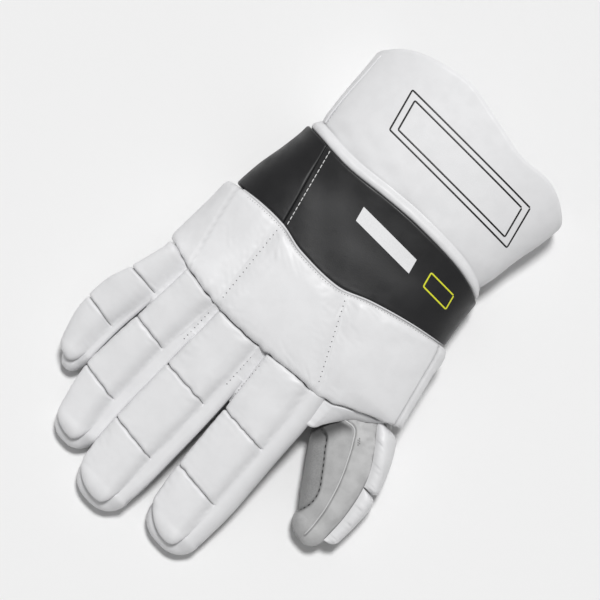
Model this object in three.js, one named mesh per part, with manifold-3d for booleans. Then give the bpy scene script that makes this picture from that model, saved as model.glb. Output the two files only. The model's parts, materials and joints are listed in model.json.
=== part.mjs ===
// A right-hand bandy glove that lies palm down, in millimetres.
// +Z is up, the fingers point to +Y, the cuff opens to -Y and the thumb lies on -X.
// Every piece is worked out on three leather skins: the body, each finger and the thumb.

import * as THREE from 'three';
import { mergeVertices } from 'three/addons/utils/BufferGeometryUtils.js';
import Module from 'manifold-3d';

const wasm = await Module();
wasm.setup();

// Driving dimensions
const LEATHER = 2;
const CUFF_LEATHER = 2.6;
const GAP = 0.3;
const PAD_GAP = 0.55;
const FINGER_PAD = 8;
const KNUCKLE_PAD = 10;
const THUMB_PAD = 6.5;
const WRIST_PAD = 5.5;
const ROLL_HEIGHT = 4.5;
const WELT_WIDTH = 7;
const WELT_HEIGHT = 5.5;
const WEB_THICK = 2.6;
const CHANNEL = 3.4;
const SIDE_SEAM = 17;
const CUFF_START = -81;
const BODY_START = -80.6;
const FINGER_START = 58;
const RIM = 6.5;

const WHITE = { color: 0xe9e9ea, roughness: 0.48, metalness: 0 };
const SOFT_WHITE = { color: 0xe2e2e3, roughness: 0.55, metalness: 0 };
const BLACK = { color: 0x3d3d3f, roughness: 0.5, metalness: 0 };
const SUEDE = { color: 0xacacac, roughness: 0.95, metalness: 0 };

// Sections of the body's leather, from the cuff's mouth to the finger roots.
// right and left are the widest places, at the height mid; crest is where the top is highest.
const BODY_ROWS = [
  { y: -168, right: 71.5, left: -79.6, crest: -3, top: 70, mid: 31, bottom: 0, square: 2.5 },
  { y: -140, right: 71.2, left: -79.0, crest: -3, top: 69, mid: 31, bottom: 0, square: 2.5 },
  { y: -122, right: 70.0, left: -77.4, crest: -2, top: 67.5, mid: 30, bottom: 0, square: 2.5 },
  { y: -106, right: 69.0, left: -74.6, crest: -1, top: 66, mid: 29, bottom: 0, square: 2.5 },
  { y: -90, right: 67.2, left: -72.8, crest: 0, top: 64, mid: 28, bottom: 0, square: 2.5 },
  { y: -76, right: 64.2, left: -70.0, crest: 0, top: 60.5, mid: 27, bottom: 0, square: 2.45 },
  { y: -60, right: 65.6, left: -71.2, crest: 0, top: 58, mid: 26.5, bottom: 0, square: 2.4 },
  { y: -40, right: 69.0, left: -74.6, crest: 0, top: 56.5, mid: 26, bottom: 0, square: 2.4 },
  { y: -18, right: 70.0, left: -83.0, crest: 0, top: 55, mid: 25.5, bottom: 0, square: 2.3 },
  { y: 0, right: 70.0, left: -88.0, crest: 0, top: 53.5, mid: 25, bottom: 0, square: 2.2 },
  { y: 12, right: 70.6, left: -89.0, crest: 2, top: 52, mid: 25, bottom: 0, square: 2.2 },
  { y: 22, right: 71.6, left: -76.0, crest: 4, top: 50.5, mid: 25.5, bottom: 1.5, square: 2.3 },
  { y: 32, right: 72.8, left: -63.5, crest: 6, top: 48.5, mid: 26, bottom: 4.5, square: 2.7 },
  { y: 46, right: 75.4, left: -56.4, crest: 8, top: 45, mid: 27, bottom: 8.8, square: 3.2 },
  { y: 58, right: 79.0, left: -57.0, crest: 9, top: 42.4, mid: 27.5, bottom: 11.4, square: 3.6 },
];

// Sections of each finger's leather. pad_right and pad_left are the plan edges of its pads.
const FINGERS = {
  little: {
    wraps: true,
    rows: [
      { y: 34, right: 72.0, left: 60.2, top: 44.5, bottom: 5, pad_left: 61.5 },
      { y: 46, right: 75.4, left: 60.8, top: 41.8, bottom: 9, pad_left: 62.5 },
      { y: 58, right: 79.0, left: 61.3, top: 38.8, bottom: 11, pad_left: 63.5 },
      { y: 71, right: 83.8, left: 62.0, top: 35, bottom: 11, pad_left: 65.8 },
      { y: 86, right: 85.2, left: 63.2, top: 30.5, bottom: 8, pad_left: 67.6 },
      { y: 101, right: 83.4, left: 63.4, top: 26.5, bottom: 4, pad_left: 68.4 },
      { y: 115, right: 79.2, left: 63.0, top: 23, bottom: 0, pad_left: 68.0 },
    ],
    tip: { x: 70.5, y: 128, z: 10 },
    seams: [
      { right: { x: 83, y: 56 }, left: { x: 64, y: 58 } },
      { right: { x: 90, y: 86 }, left: { x: 68, y: 90.5 } },
    ],
  },
  ring: {
    rows: [
      { y: 34, right: 59.2, left: 28.9, top: 48.0, bottom: 5, pad_right: 58.6, pad_left: 34 },
      { y: 46, right: 60.0, left: 28.7, top: 44.8, bottom: 9, pad_right: 59, pad_left: 34.8 },
      { y: 58, right: 60.5, left: 28.5, top: 42, bottom: 12, pad_right: 59.4, pad_left: 35.6 },
      { y: 78, right: 61.8, left: 28.3, top: 37.5, bottom: 12, pad_right: 60.4, pad_left: 36.8 },
      { y: 98, right: 62.4, left: 28.0, top: 32.5, bottom: 9, pad_right: 61.4, pad_left: 36.8 },
      { y: 118, right: 62.2, left: 27.8, top: 27.5, bottom: 5, pad_right: 61.2, pad_left: 36.2 },
      { y: 145, right: 55.8, left: 26.2, top: 22, bottom: 0, pad_right: 55, pad_left: 33.8 },
    ],
    tip: { x: 40.2, y: 159.6, z: 10 },
    seams: [
      { right: { x: 58, y: 75 }, left: { x: 37, y: 78 } },
      { right: { x: 61, y: 116.5 }, left: { x: 37, y: 120.5 } },
    ],
  },
  middle: {
    rows: [
      { y: 34, right: 28.0, left: -8.6, top: 49.0, bottom: 5, pad_right: 27.6, pad_left: -2 },
      { y: 46, right: 27.8, left: -9.8, top: 46, bottom: 9, pad_right: 27.4, pad_left: -2.8 },
      { y: 58, right: 27.6, left: -11.2, top: 43.5, bottom: 12, pad_right: 27.2, pad_left: -3.3 },
      { y: 78, right: 27.4, left: -12.8, top: 39.5, bottom: 13, pad_right: 27, pad_left: -3.6 },
      { y: 98, right: 27.1, left: -13.6, top: 35.5, bottom: 11, pad_right: 26.8, pad_left: -3.8 },
      { y: 118, right: 26.9, left: -14.0, top: 31.5, bottom: 7.5, pad_right: 26.6, pad_left: -4.2 },
      { y: 140, right: 25.8, left: -14.2, top: 27, bottom: 3.5, pad_right: 25.4, pad_left: -4.6 },
      { y: 159, right: 23.4, left: -13.2, top: 23, bottom: 0, pad_right: 22.8, pad_left: -4.4 },
    ],
    tip: { x: 4.5, y: 174.6, z: 10 },
    seams: [
      { right: { x: 26, y: 82 }, left: { x: -3, y: 84 } },
      { right: { x: 26, y: 126 }, left: { x: -3, y: 129.5 } },
    ],
  },
  index: {
    rows: [
      { y: 34, right: -9.6, left: -53.5, top: 47.5, bottom: 5, pad_right: -10.2, pad_left: -42 },
      { y: 46, right: -10.8, left: -55.6, top: 44.5, bottom: 9, pad_right: -11.6, pad_left: -43.8 },
      { y: 58, right: -12.6, left: -57.0, top: 42, bottom: 12, pad_right: -13.4, pad_left: -45.4 },
      { y: 78, right: -15.4, left: -58.4, top: 38, bottom: 12, pad_right: -16, pad_left: -47 },
      { y: 98, right: -17.2, left: -60.0, top: 33.5, bottom: 9, pad_right: -17.6, pad_left: -48.6 },
      { y: 120, right: -19.4, left: -61.6, top: 28.5, bottom: 5, pad_right: -19.8, pad_left: -50.4 },
      { y: 148, right: -23.6, left: -61.4, top: 23, bottom: 0, pad_right: -24.2, pad_left: -51.6 },
    ],
    tip: { x: -44, y: 163, z: 10 },
    seams: [
      { right: { x: -16, y: 77 }, left: { x: -47, y: 79 } },
      { right: { x: -19, y: 119.5 }, left: { x: -50, y: 122.5 } },
    ],
  },
};

// Sections of the thumb's suede. seam is the plan place of the edge of its white back.
const THUMB_ROWS = [
  { y: 4, right: -62.0, left: -85.0, top: 27, bottom: 2, seam: -78 },
  { y: 19, right: -59.0, left: -94.0, top: 33.5, bottom: 0.8, seam: -84 },
  { y: 30, right: -57.8, left: -100.6, top: 36, bottom: 0, seam: -92.5 },
  { y: 40, right: -57.4, left: -105.0, top: 37, bottom: 0, seam: -99.6 },
  { y: 50, right: -59.8, left: -108.6, top: 36.5, bottom: 0, seam: -104.4 },
  { y: 62, right: -67.2, left: -111.4, top: 35, bottom: 0, seam: -107.8 },
  { y: 76, right: -77.4, left: -112.0, top: 32.5, bottom: 0, seam: -110 },
  { y: 89, right: -87.2, left: -111.8, top: 29, bottom: 0, seam: -110.6 },
];
const THUMB_TIP = { x: -102.5, y: 101.6, z: 13 };
const THUMB_NOTCH = 52;

// Plan outlines: each gives y along x, from the thumb's side to the little finger's side.
const CUFF_MOUTH = [
  { x: -79.6, y: -138.5 }, { x: -77.4, y: -142 }, { x: -66, y: -149.5 }, { x: -54, y: -153 },
  { x: -32, y: -151.5 }, { x: -16, y: -154.6 }, { x: -4, y: -157 }, { x: 17, y: -160.8 },
  { x: 31, y: -159.3 }, { x: 48.6, y: -154.6 }, { x: 61, y: -148 }, { x: 71.4, y: -137.5 },
];
const CUFF_SIDE_END = -139;
const BAND_REAR = [
  { x: -75, y: -71 }, { x: -65, y: -76 }, { x: -48.5, y: -79 }, { x: -18, y: -79.5 },
  { x: 5, y: -78 }, { x: 35, y: -75 }, { x: 69, y: -77 },
];
const BAND_FRONT = [
  { x: -80, y: -41.5 }, { x: -54, y: -36 }, { x: -29, y: -28.5 }, { x: -10, y: -21 },
  { x: 20, y: -20.5 }, { x: 37, y: -24 }, { x: 56, y: -24 }, { x: 76, y: -21.5 },
];
const KNUCKLE_FRONT = [
  { x: -97, y: 10.5 }, { x: -79, y: 17 }, { x: -63.5, y: 24 }, { x: -51, y: 30.5 }, { x: -44, y: 33 },
  { x: -31, y: 33 }, { x: -15, y: 35 }, { x: 7, y: 37 }, { x: 31.5, y: 37 }, { x: 58, y: 33 },
  { x: 79, y: 27 },
];
const WEB_FRONT = [
  { x: -84, y: 20 }, { x: -73, y: 26 }, { x: -66, y: 32 }, { x: -62, y: 41 }, { x: -57, y: 48 },
  { x: -44, y: 52 },
];
const BAND_SEAM = { rear: { x: 51, y: -77 }, front: { x: 37, y: -24 } };
const OUTER_CHANNEL = { rear: { x: 39, y: -23.5 }, front: { x: 32.6, y: 36.5 } };
const THUMB_CHANNEL = { rear: { x: -17, y: -22 }, front: { x: -45, y: 32 } };
const WELT_SEAM = { rear: { x: -80, y: -36 }, front: { x: -92.5, y: 12 } };
const OUTER_FOLD = { rear: { x: 72.5, y: -16 }, front: { x: 61.5, y: 28 }, rise: 1.6, wide: 5 };

const lerp = THREE.MathUtils.lerp;
const sum = (list) => list.reduce((total, value) => total + value, 0);

// The value of one column at a place along a table, on a smooth curve through its rows.
function columnAt(rows, key, column, place) {
  const last = rows.length - 1;
  const at = Math.min(Math.max(place, rows[0][key]), rows[last][key]);
  let i = 0;
  while (i < last - 1 && rows[i + 1][key] < at) i += 1;
  const step = rows[i + 1][key] - rows[i][key];
  const t = (at - rows[i][key]) / step;
  const slope = (j) => {
    const a = rows[Math.max(j - 1, 0)];
    const b = rows[Math.min(j + 1, last)];
    return (b[column] - a[column]) / (b[key] - a[key]);
  };
  const [from, to] = [rows[i][column], rows[i + 1][column]];
  const [leave, arrive] = [slope(i) * step, slope(i + 1) * step];
  const bend = (2 * t ** 3 - 3 * t ** 2 + 1) * from + (t ** 3 - 2 * t ** 2 + t) * leave;
  return bend + (-2 * t ** 3 + 3 * t ** 2) * to + (t ** 3 - t ** 2) * arrive;
}

const edgeAt = (points) => (x) => columnAt(points, 'x', 'y', x);
const lineY = ({ right, left }) => (x) => lerp(right.y, left.y, (x - right.x) / (left.x - right.x));
const lineX = ({ rear, front }) => (y) => lerp(rear.x, front.x, (y - rear.y) / (front.y - rear.y));

const bodyRow = (y) => Object.fromEntries(
  Object.keys(BODY_ROWS[0]).map((column) => [column, columnAt(BODY_ROWS, 'y', column, y)]),
);

// One point of a rounded section: angle 0 faces +X, 90 is up, and out is its distance off the skin.
// The foot of the section is cut flat at its bottom, and a flank leans where the section says so.
const FOOT_SQUARE = 3.2;
const FOOT_DEPTH = 1.15;
function sectionPoint(row, y, angle, out) {
  const c = Math.cos(THREE.MathUtils.degToRad(angle));
  const s = Math.sin(THREE.MathUtils.degToRad(angle));
  const square = s >= 0 ? row.square : FOOT_SQUARE;
  const rise = s >= 0 ? row.top - row.mid : (row.mid - row.bottom) * FOOT_DEPTH;
  const up = Math.sign(s) * (rise + out) * Math.abs(s) ** (2 / square);
  const flank = c >= 0 ? row.right - row.crest : row.crest - row.left;
  const lean = c < 0 && s > 0 ? (row.lean ?? 0) * (up / rise) : 0;
  const across = Math.sign(c) * (flank * (1 - lean) + out) * Math.abs(c) ** (2 / square);
  const z = Math.max(row.mid + up, row.bottom - out);
  return new THREE.Vector3(row.crest + across, y, z);
}

const bodySkin = (y, angle, out) => sectionPoint(bodyRow(y), y, angle, out);

// A stall is a finger or the thumb: its skin follows the rows and closes in a dome at the tip.
const STALL_SQUARE = 3;
const ROOT_SQUARE = 6;
const DOME_BLUNT = 0.42;
function stallSkin({ rows, tip, lean, middle }) {
  const columns = ['right', 'left', 'top', 'bottom'];
  const shoulder = rows[rows.length - 1].y;
  const rowOf = (y) => {
    const row = Object.fromEntries(columns.map((column) => [column, columnAt(rows, 'y', column, y)]));
    row.crest = (row.right + row.left) / 2;
    row.mid = lerp(row.bottom, row.top, middle);
    const free = THREE.MathUtils.smoothstep(y, 52, 80);
    row.square = lean ? lerp(ROOT_SQUARE, STALL_SQUARE, free) : STALL_SQUARE;
    row.lean = lean * free;
    return row;
  };
  const skin = (y, angle, out) => {
    if (y <= shoulder) return sectionPoint(rowOf(y), y, angle, out);
    const turn = Math.min((y - shoulder) / (tip.y - shoulder), 1);
    const shrink = (1 - turn ** 2) ** DOME_BLUNT;
    const point = sectionPoint(rowOf(shoulder), shoulder, angle, out);
    point.x = lerp(tip.x, point.x, shrink);
    point.z = lerp(tip.z, point.z, shrink);
    point.y = shoulder + (tip.y - shoulder + out) * turn;
    return point;
  };
  return { skin, shoulder, rows, tip };
}

const FINGER_LEAN = 0.34;
const FINGER_MIDDLE = 0.45;
const stalls = Object.fromEntries(Object.entries(FINGERS).map(([name, finger]) => [
  name, stallSkin({ ...finger, lean: FINGER_LEAN, middle: FINGER_MIDDLE }),
]));
const thumb = stallSkin({ rows: THUMB_ROWS, tip: THUMB_TIP, lean: 0, middle: 0.42 });

// The angle at which a skin's upper half passes over a plan x.
function angleOver(skin, y, x, out) {
  let [low, high] = [2, 178];
  for (let i = 0; i < 30; i += 1) {
    const half = (low + high) / 2;
    if (skin(y, half, out).x > x) low = half; else high = half;
  }
  return (low + high) / 2;
}

// Closed meshes

function meshOf(points, triangles) {
  const geometry = new THREE.BufferGeometry();
  geometry.setAttribute('position', new THREE.Float32BufferAttribute(points.flatMap((p) => p.toArray()), 3));
  const volume = sum(triangles.map(([a, b, c]) => points[a].dot(points[b].clone().cross(points[c]))));
  geometry.setIndex(triangles.flatMap(([a, b, c]) => (volume > 0 ? [a, b, c] : [a, c, b])));
  return geometry;
}

// Rings of points, joined one to the next and capped at both ends.
function loft(rings) {
  const count = rings[0].length;
  const points = rings.flat();
  const triangles = [];
  for (let j = 0; j < rings.length - 1; j += 1) {
    for (let i = 0; i < count; i += 1) {
      const [a, b] = [j * count + i, j * count + ((i + 1) % count)];
      triangles.push([a, b, b + count], [a, b + count, a + count]);
    }
  }
  for (const [start, flip] of [[0, true], [(rings.length - 1) * count, false]]) {
    const centre = points.length;
    const ring = points.slice(start, start + count);
    points.push(ring.reduce((total, p) => total.add(p), new THREE.Vector3()).divideScalar(count));
    for (let i = 0; i < count; i += 1) {
      const [a, b] = [start + i, start + ((i + 1) % count)];
      triangles.push(flip ? [centre, b, a] : [centre, a, b]);
    }
  }
  return meshOf(points, triangles);
}

// Two sheets of points with one above the other, joined round their borders.
function slab(under, over) {
  const [rows, columns] = [under.length, under[0].length];
  const points = [...under.flat(), ...over.flat()];
  const index = (sheet, i, j) => sheet * rows * columns + i * columns + j;
  const triangles = [];
  for (let i = 0; i < rows - 1; i += 1) {
    for (let j = 0; j < columns - 1; j += 1) {
      const corners = [[i, j], [i + 1, j], [i + 1, j + 1], [i, j + 1]];
      const [a, b, c, d] = corners.map(([m, n]) => index(0, m, n));
      const [e, f, g, h] = corners.map(([m, n]) => index(1, m, n));
      triangles.push([a, c, b], [a, d, c], [e, f, g], [e, g, h]);
    }
  }
  const border = [];
  for (let i = 0; i < rows - 1; i += 1) border.push([i, 0]);
  for (let j = 0; j < columns - 1; j += 1) border.push([rows - 1, j]);
  for (let i = rows - 1; i > 0; i -= 1) border.push([i, columns - 1]);
  for (let j = columns - 1; j > 0; j -= 1) border.push([0, j]);
  border.forEach(([i, j], k) => {
    const [m, n] = border[(k + 1) % border.length];
    const [a, b, c, d] = [index(0, i, j), index(0, m, n), index(1, m, n), index(1, i, j)];
    triangles.push([a, b, c], [a, c, d]);
  });
  return meshOf(points, triangles);
}

function solid(geometry) {
  const merged = mergeVertices(geometry, 1e-4);
  return new wasm.Manifold(new wasm.Mesh({
    numProp: 3,
    vertProperties: new Float32Array(merged.attributes.position.array),
    triVerts: new Uint32Array(merged.index.array),
  }));
}

// The largest body of a solid as a geometry, so that no crumb of a cut is kept.
function geometryOf(body) {
  const [largest] = body.decompose().sort((a, b) => b.volume() - a.volume());
  const { vertProperties, triVerts } = largest.getMesh();
  const geometry = new THREE.BufferGeometry();
  geometry.setAttribute('position', new THREE.BufferAttribute(new Float32Array(vertProperties), 3));
  geometry.setIndex(new THREE.BufferAttribute(new Uint32Array(triVerts), 1));
  return geometry;
}

// Shells

const spaced = (from, to, steps) => Array.from({ length: steps + 1 }, (_, i) => lerp(from, to, i / steps));
const ringOf = (skin, y, out, sides) => (
  Array.from({ length: sides }, (_, i) => skin(y, (360 * i) / sides, out))
);
const tubeOf = (skin, places, out, sides) => solid(loft(places.map((y) => ringOf(skin, y, out, sides))));

const BODY_SIDES = 30;
const BODY_PLACES = [-60, -40, -20, 0, 12, 22, 32, 46];
const bodySolid = (out, from, to) => tubeOf(bodySkin, [from, ...BODY_PLACES, to], out, BODY_SIDES);
const bodyShell = bodySolid(0, BODY_START, FINGER_START - GAP)
  .subtract(bodySolid(-LEATHER, BODY_START - 1, FINGER_START + 1));

// The cuff's rings run square to the hand at the wrist and follow the curved mouth at the other end.
const mouthY = edgeAt(CUFF_MOUTH);
function cuffRing(share, out) {
  const nominal = lerp(CUFF_START, CUFF_SIDE_END, share);
  return ringOf((y, angle) => {
    const point = bodySkin(y, angle, out);
    const upper = THREE.MathUtils.smoothstep(point.z, 4, 36);
    const end = lerp(CUFF_SIDE_END, mouthY(point.x), upper);
    point.y = lerp(CUFF_START, end, share);
    return point;
  }, nominal, 0, BODY_SIDES);
}
const cuffSolid = (out, shares) => solid(loft(shares.map((share) => cuffRing(share, out))));

const STALL_STEP = 21;
function stallTube(stall, out, from, sides) {
  const straight = spaced(from, stall.shoulder, Math.round((stall.shoulder - from) / STALL_STEP));
  const reach = stall.tip.y - stall.shoulder;
  const dome = [0.4, 0.74, 0.94, 0.997].map((share) => stall.shoulder + reach * share);
  return tubeOf(stall.skin, [...straight, ...dome], out, sides);
}

const STALL_SIDES = 14;
const stallShell = (stall, from) => stallTube(stall, 0, from, STALL_SIDES)
  .subtract(stallTube(stall, -LEATHER, from - 1, STALL_SIDES));

// The suede under a finger is cut off below its side seam, and stops short of the white tip.
const UNDER_HEIGHT = 7;
function fingerUnderside(stall, inset) {
  const shoulder = stall.shoulder - inset;
  const rows = spaced(FINGER_START - 4, shoulder, 3);
  return solid(loft(rows.map((y) => {
    const [right, left] = ['right', 'left'].map((column) => columnAt(stall.rows, 'y', column, y));
    const top = columnAt(stall.rows, 'y', 'bottom', y) + UNDER_HEIGHT - inset;
    const corners = [[right + 2, -5], [right + 2, top], [left - 2, top], [left - 2, -5]];
    return corners.map(([x, z]) => new THREE.Vector3(x, y, z));
  })));
}

// A plain block that is wider than the glove, to cut pieces at a height or a place along the hand.
const BLOCK_SIDE = 200;
function block(from, to, low, high) {
  const corners = [[BLOCK_SIDE, low], [BLOCK_SIDE, high], [-BLOCK_SIDE, high], [-BLOCK_SIDE, low]];
  return solid(loft([from, to].map((y) => corners.map(([x, z]) => new THREE.Vector3(x, y, z)))));
}

// Pads

// How much of its thickness a pad has: it rises in a quarter round from its edges.
const roundOff = (distance, radius) => Math.sqrt(1 - (1 - Math.min(distance / radius, 1)) ** 2);

// A pad on a skin. rear and front give y along x, and right and left give an angle along y.
const EDGE = 0.3;
function pad({ skin, rear, front, right, left, thick, round, edge = EDGE, across = 5, along = 5, form }) {
  const crowd = (steps) => Array.from({ length: steps + 1 }, (_, i) => {
    const even = i / steps;
    return lerp(even, 0.5 - 0.5 * Math.cos(Math.PI * even), 0.75);
  });
  const place = (s, t, out) => {
    let y = lerp(rear(0), front(0), t);
    let angle = 90;
    for (let i = 0; i < 6; i += 1) {
      angle = lerp(right(y), left(y), s);
      const { x } = skin(y, angle, PAD_GAP + edge * thick);
      y = lerp(rear(x), front(x), t);
    }
    return skin(y, angle, out);
  };
  const [middleRear, middleFront] = [place(0.5, 0, thick), place(0.5, 1, thick)];
  const length = middleRear.distanceTo(middleFront);
  const sheets = [[], []];
  for (const t of crowd(along)) {
    const width = place(0, t, thick).distanceTo(place(0.5, t, thick)) * 2;
    const rows = [[], []];
    for (const s of crowd(across)) {
      const height = roundOff(Math.min(s, 1 - s) * width, round) * roundOff(Math.min(t, 1 - t) * length, round);
      const lift = thick * (edge + (1 - edge) * height);
      const top = place(s, t, PAD_GAP + lift);
      rows[0].push(place(s, t, PAD_GAP));
      rows[1].push(form ? place(s, t, PAD_GAP + lift + form(top, s, t)) : top);
    }
    sheets[0].push(rows[0]);
    sheets[1].push(rows[1]);
  }
  return solid(slab(sheets[0], sheets[1]));
}

const always = (value) => () => value;
const beside = (skin, edge, thick, shift) => (y) => angleOver(skin, y, edge(y) + shift, EDGE * thick);

// The three pads of one finger, divided by two seams, with the tip pad inside a rim of leather.
const SEAM_GAP = 0.9;
const WRAP_ANGLE = 12;
const TIP_SAG = 0.022;
function fingerPads(name) {
  const { seams, wraps } = FINGERS[name];
  const { skin, shoulder, rows, tip } = stalls[name];
  const planEdge = (column) => (y) => {
    const at = Math.min(y, shoulder);
    return angleOver(skin, at, columnAt(rows, 'y', column, at), EDGE * FINGER_PAD);
  };
  const [first, second] = seams.map(lineY);
  const tipEdge = (x) => tip.y - RIM - TIP_SAG * (x - tip.x) ** 2;
  const knuckleEdge = (x) => edgeAt(KNUCKLE_FRONT)(x) + 2 * SEAM_GAP;
  const spans = {
    base: [knuckleEdge, (x) => first(x) - SEAM_GAP],
    middle: [(x) => first(x) + SEAM_GAP, (x) => second(x) - SEAM_GAP],
    tip: [(x) => second(x) + SEAM_GAP, tipEdge],
  };
  return Object.fromEntries(Object.entries(spans).map(([part, [rear, front]]) => [
    `${name}_pad_${part}`,
    pad({
      skin,
      rear,
      front,
      right: wraps ? always(WRAP_ANGLE) : planEdge('pad_right'),
      left: planEdge('pad_left'),
      thick: FINGER_PAD,
      round: 8,
    }),
  ]));
}

const foldRise = (point) => {
  const distance = point.x - lineX(OUTER_FOLD)(point.y);
  return OUTER_FOLD.rise * Math.exp(-((distance / OUTER_FOLD.wide) ** 2));
};

const SIDE_ANGLE = -6;
const THUMB_SIDE_ANGLE = 183;
const bandRear = edgeAt(BAND_REAR);
const bandFront = edgeAt(BAND_FRONT);
const knuckleFront = edgeAt(KNUCKLE_FRONT);

const knucklePad = (right, left, extra = {}) => pad({
  skin: bodySkin,
  rear: (x) => bandFront(x) + 1.2,
  front: knuckleFront,
  right,
  left,
  thick: KNUCKLE_PAD,
  round: 10,
  across: 6,
  along: 6,
  ...extra,
});
const weltSeam = (shift) => (y) => angleOver(bodySkin, y, lineX(WELT_SEAM)(y) + shift, KNUCKLE_PAD);
const knuckleChannel = (line, shift) => beside(bodySkin, lineX(line), KNUCKLE_PAD, shift);

const bandPad = (right, left, across) => pad({
  skin: bodySkin,
  rear: bandRear,
  front: bandFront,
  right,
  left,
  thick: WRIST_PAD,
  round: 4,
  edge: 0.45,
  across,
  along: 4,
});
const bandSeam = (shift) => beside(bodySkin, lineX(BAND_SEAM), WRIST_PAD, shift);

// The web is a soft sheet between the index finger and the thumb, with three long folds.
const WEB_FOLDS = 3;
const WEB_FOLD_HEIGHT = 0.9;
const webFolds = (point, s, t) => (
  WEB_FOLD_HEIGHT * Math.sin(Math.PI * t) * (1 + Math.sin(2 * Math.PI * WEB_FOLDS * s))
);

// Solids, by node

const thumbTube = stallShell(thumb, 4);
const thumbSpace = stallTube(thumb, GAP, 3, STALL_SIDES);
const bodySpace = bodySolid(GAP, BODY_START, FINGER_START - GAP);
const cuffSpace = cuffSolid(GAP, [0, 0.3, 0.65, 1]);

const fingerShells = Object.fromEntries(Object.entries(stalls).map(([name, stall]) => [name, {
  whole: stallShell(stall, FINGER_START - 3),
  space: stallTube(stall, GAP, FINGER_START, STALL_SIDES),
  stall,
}]));

const belowSeam = (inset) => block(-BLOCK_SIDE, BLOCK_SIDE, -BLOCK_SIDE, SIDE_SEAM - inset);
const aboveSeam = block(-BLOCK_SIDE, FINGER_START, SIDE_SEAM - GAP, BLOCK_SIDE);
const beyondRoots = block(FINGER_START, BLOCK_SIDE, -BLOCK_SIDE, BLOCK_SIDE);
const back = bodyShell.subtract(belowSeam(0)).subtract(thumbSpace);
const palm = Object.values(fingerShells).reduce(
  (total, { whole, stall }) => total.add(whole.intersect(fingerUnderside(stall, GAP))),
  bodyShell.intersect(belowSeam(GAP)).subtract(thumbSpace),
).subtract(aboveSeam);

const pieces = {
  cuff: [cuffSolid(0, [0, 0.3, 0.65, 1]).subtract(cuffSolid(-CUFF_LEATHER, [-0.02, 0.3, 0.65, 1.03])), WHITE],
  cuff_roll: [pad({
    skin: bodySkin,
    rear: (x) => bandRear(x) - 6.6,
    front: (x) => bandRear(x) - 0.6,
    right: always(SIDE_ANGLE),
    left: always(THUMB_SIDE_ANGLE),
    thick: ROLL_HEIGHT,
    round: 3,
    across: 16,
    along: 3,
  }), WHITE],
  wrist_pad_side: [bandPad(always(SIDE_ANGLE), bandSeam(0.4), 4), BLACK],
  wrist_pad_main: [bandPad(bandSeam(-0.4), always(THUMB_SIDE_ANGLE), 10), BLACK],
  knuckle_pad_outer: [knucklePad(always(SIDE_ANGLE), knuckleChannel(OUTER_CHANNEL, CHANNEL / 2), {
    form: foldRise,
  }), WHITE],
  knuckle_pad_centre: [knucklePad(
    knuckleChannel(OUTER_CHANNEL, -CHANNEL / 2), knuckleChannel(THUMB_CHANNEL, CHANNEL / 2),
  ), WHITE],
  knuckle_pad_thumb: [knucklePad(
    knuckleChannel(THUMB_CHANNEL, -CHANNEL / 2), weltSeam(0.8),
  ), WHITE],
  knuckle_welt: [knucklePad(weltSeam(-0.8), always(THUMB_SIDE_ANGLE + 4), {
    thick: WELT_HEIGHT, round: WELT_WIDTH / 2, across: 3,
  }), WHITE],
  hand_back: [back, SOFT_WHITE],
  palm: [palm, SUEDE],
  thumb_stall: [thumbTube, SUEDE],
  thumb_web: [pad({
    skin: bodySkin,
    rear: (x) => knuckleFront(x) + 1,
    front: edgeAt(WEB_FRONT),
    right: beside(bodySkin, always(-46), WEB_THICK, 0),
    left: always(168),
    thick: WEB_THICK,
    round: 2,
    across: 9,
    along: 3,
    form: webFolds,
  }), SOFT_WHITE],
};

const seamSide = (y) => {
  const at = Math.min(y, thumb.shoulder);
  return angleOver(thumb.skin, at, columnAt(THUMB_ROWS, 'y', 'seam', at), 0);
};
const THUMB_UNDER_ANGLE = 200;
const thumbSpans = {
  thumb_pad_base: [always(17), always(THUMB_NOTCH - 1)],
  thumb_pad_tip: [always(THUMB_NOTCH + 1), always(THUMB_TIP.y - 2)],
};
for (const [name, [rear, front]] of Object.entries(thumbSpans)) {
  pieces[name] = [pad({
    skin: thumb.skin,
    rear,
    front,
    right: seamSide,
    left: always(THUMB_UNDER_ANGLE),
    thick: THUMB_PAD,
    round: 6,
    across: 5,
    along: 5,
  }), WHITE];
}

for (const [name, { whole, stall }] of Object.entries(fingerShells)) {
  pieces[`finger_${name}`] = [whole.intersect(beyondRoots).subtract(fingerUnderside(stall, 0)), SOFT_WHITE];
  for (const [node, body] of Object.entries(fingerPads(name))) {
    pieces[node] = [body, WHITE];
  }
}

// Whatever is sewn on the leather stands clear of its facets, and is cut only where it would touch them.
const SEWN_ON = /pad|roll|welt|web/;
const TOUCH = 0.005;
const leatherSpaces = [bodySpace, cuffSpace, thumbSpace, ...Object.values(fingerShells).map(({ space }) => space)];
const clearOf = (body, space) => (body.intersect(space).volume() > TOUCH ? body.subtract(space) : body);
for (const [name, piece] of Object.entries(pieces)) {
  if (SEWN_ON.test(name)) piece[0] = leatherSpaces.reduce(clearOf, piece[0]);
}

const glove = new THREE.Group();
for (const [name, [body, finish]] of Object.entries(pieces)) {
  const mesh = new THREE.Mesh(geometryOf(body), new THREE.MeshStandardMaterial(finish));
  mesh.name = name;
  glove.add(mesh);
}

// The origin is at the middle of the glove's plan, on the surface that it rests on.
const box = new THREE.Box3().setFromObject(glove);
glove.position.set(-(box.min.x + box.max.x) / 2, -(box.min.y + box.max.y) / 2, -box.min.z);

const part = new THREE.Group();
part.add(glove);
export default part;
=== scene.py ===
"""A right-hand bandy glove that lies palm down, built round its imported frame.

Sizes in the tables are in millimetres, in the frame of the glove's pattern: the fingers point to +Y,
the thumb lies on -X and the surface that carries the glove is at 0. Everything in Blender is in metres.
"""

import json
import math

import bmesh
import bpy
import numpy as np
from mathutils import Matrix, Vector
from mathutils.bvhtree import BVHTree

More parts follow.
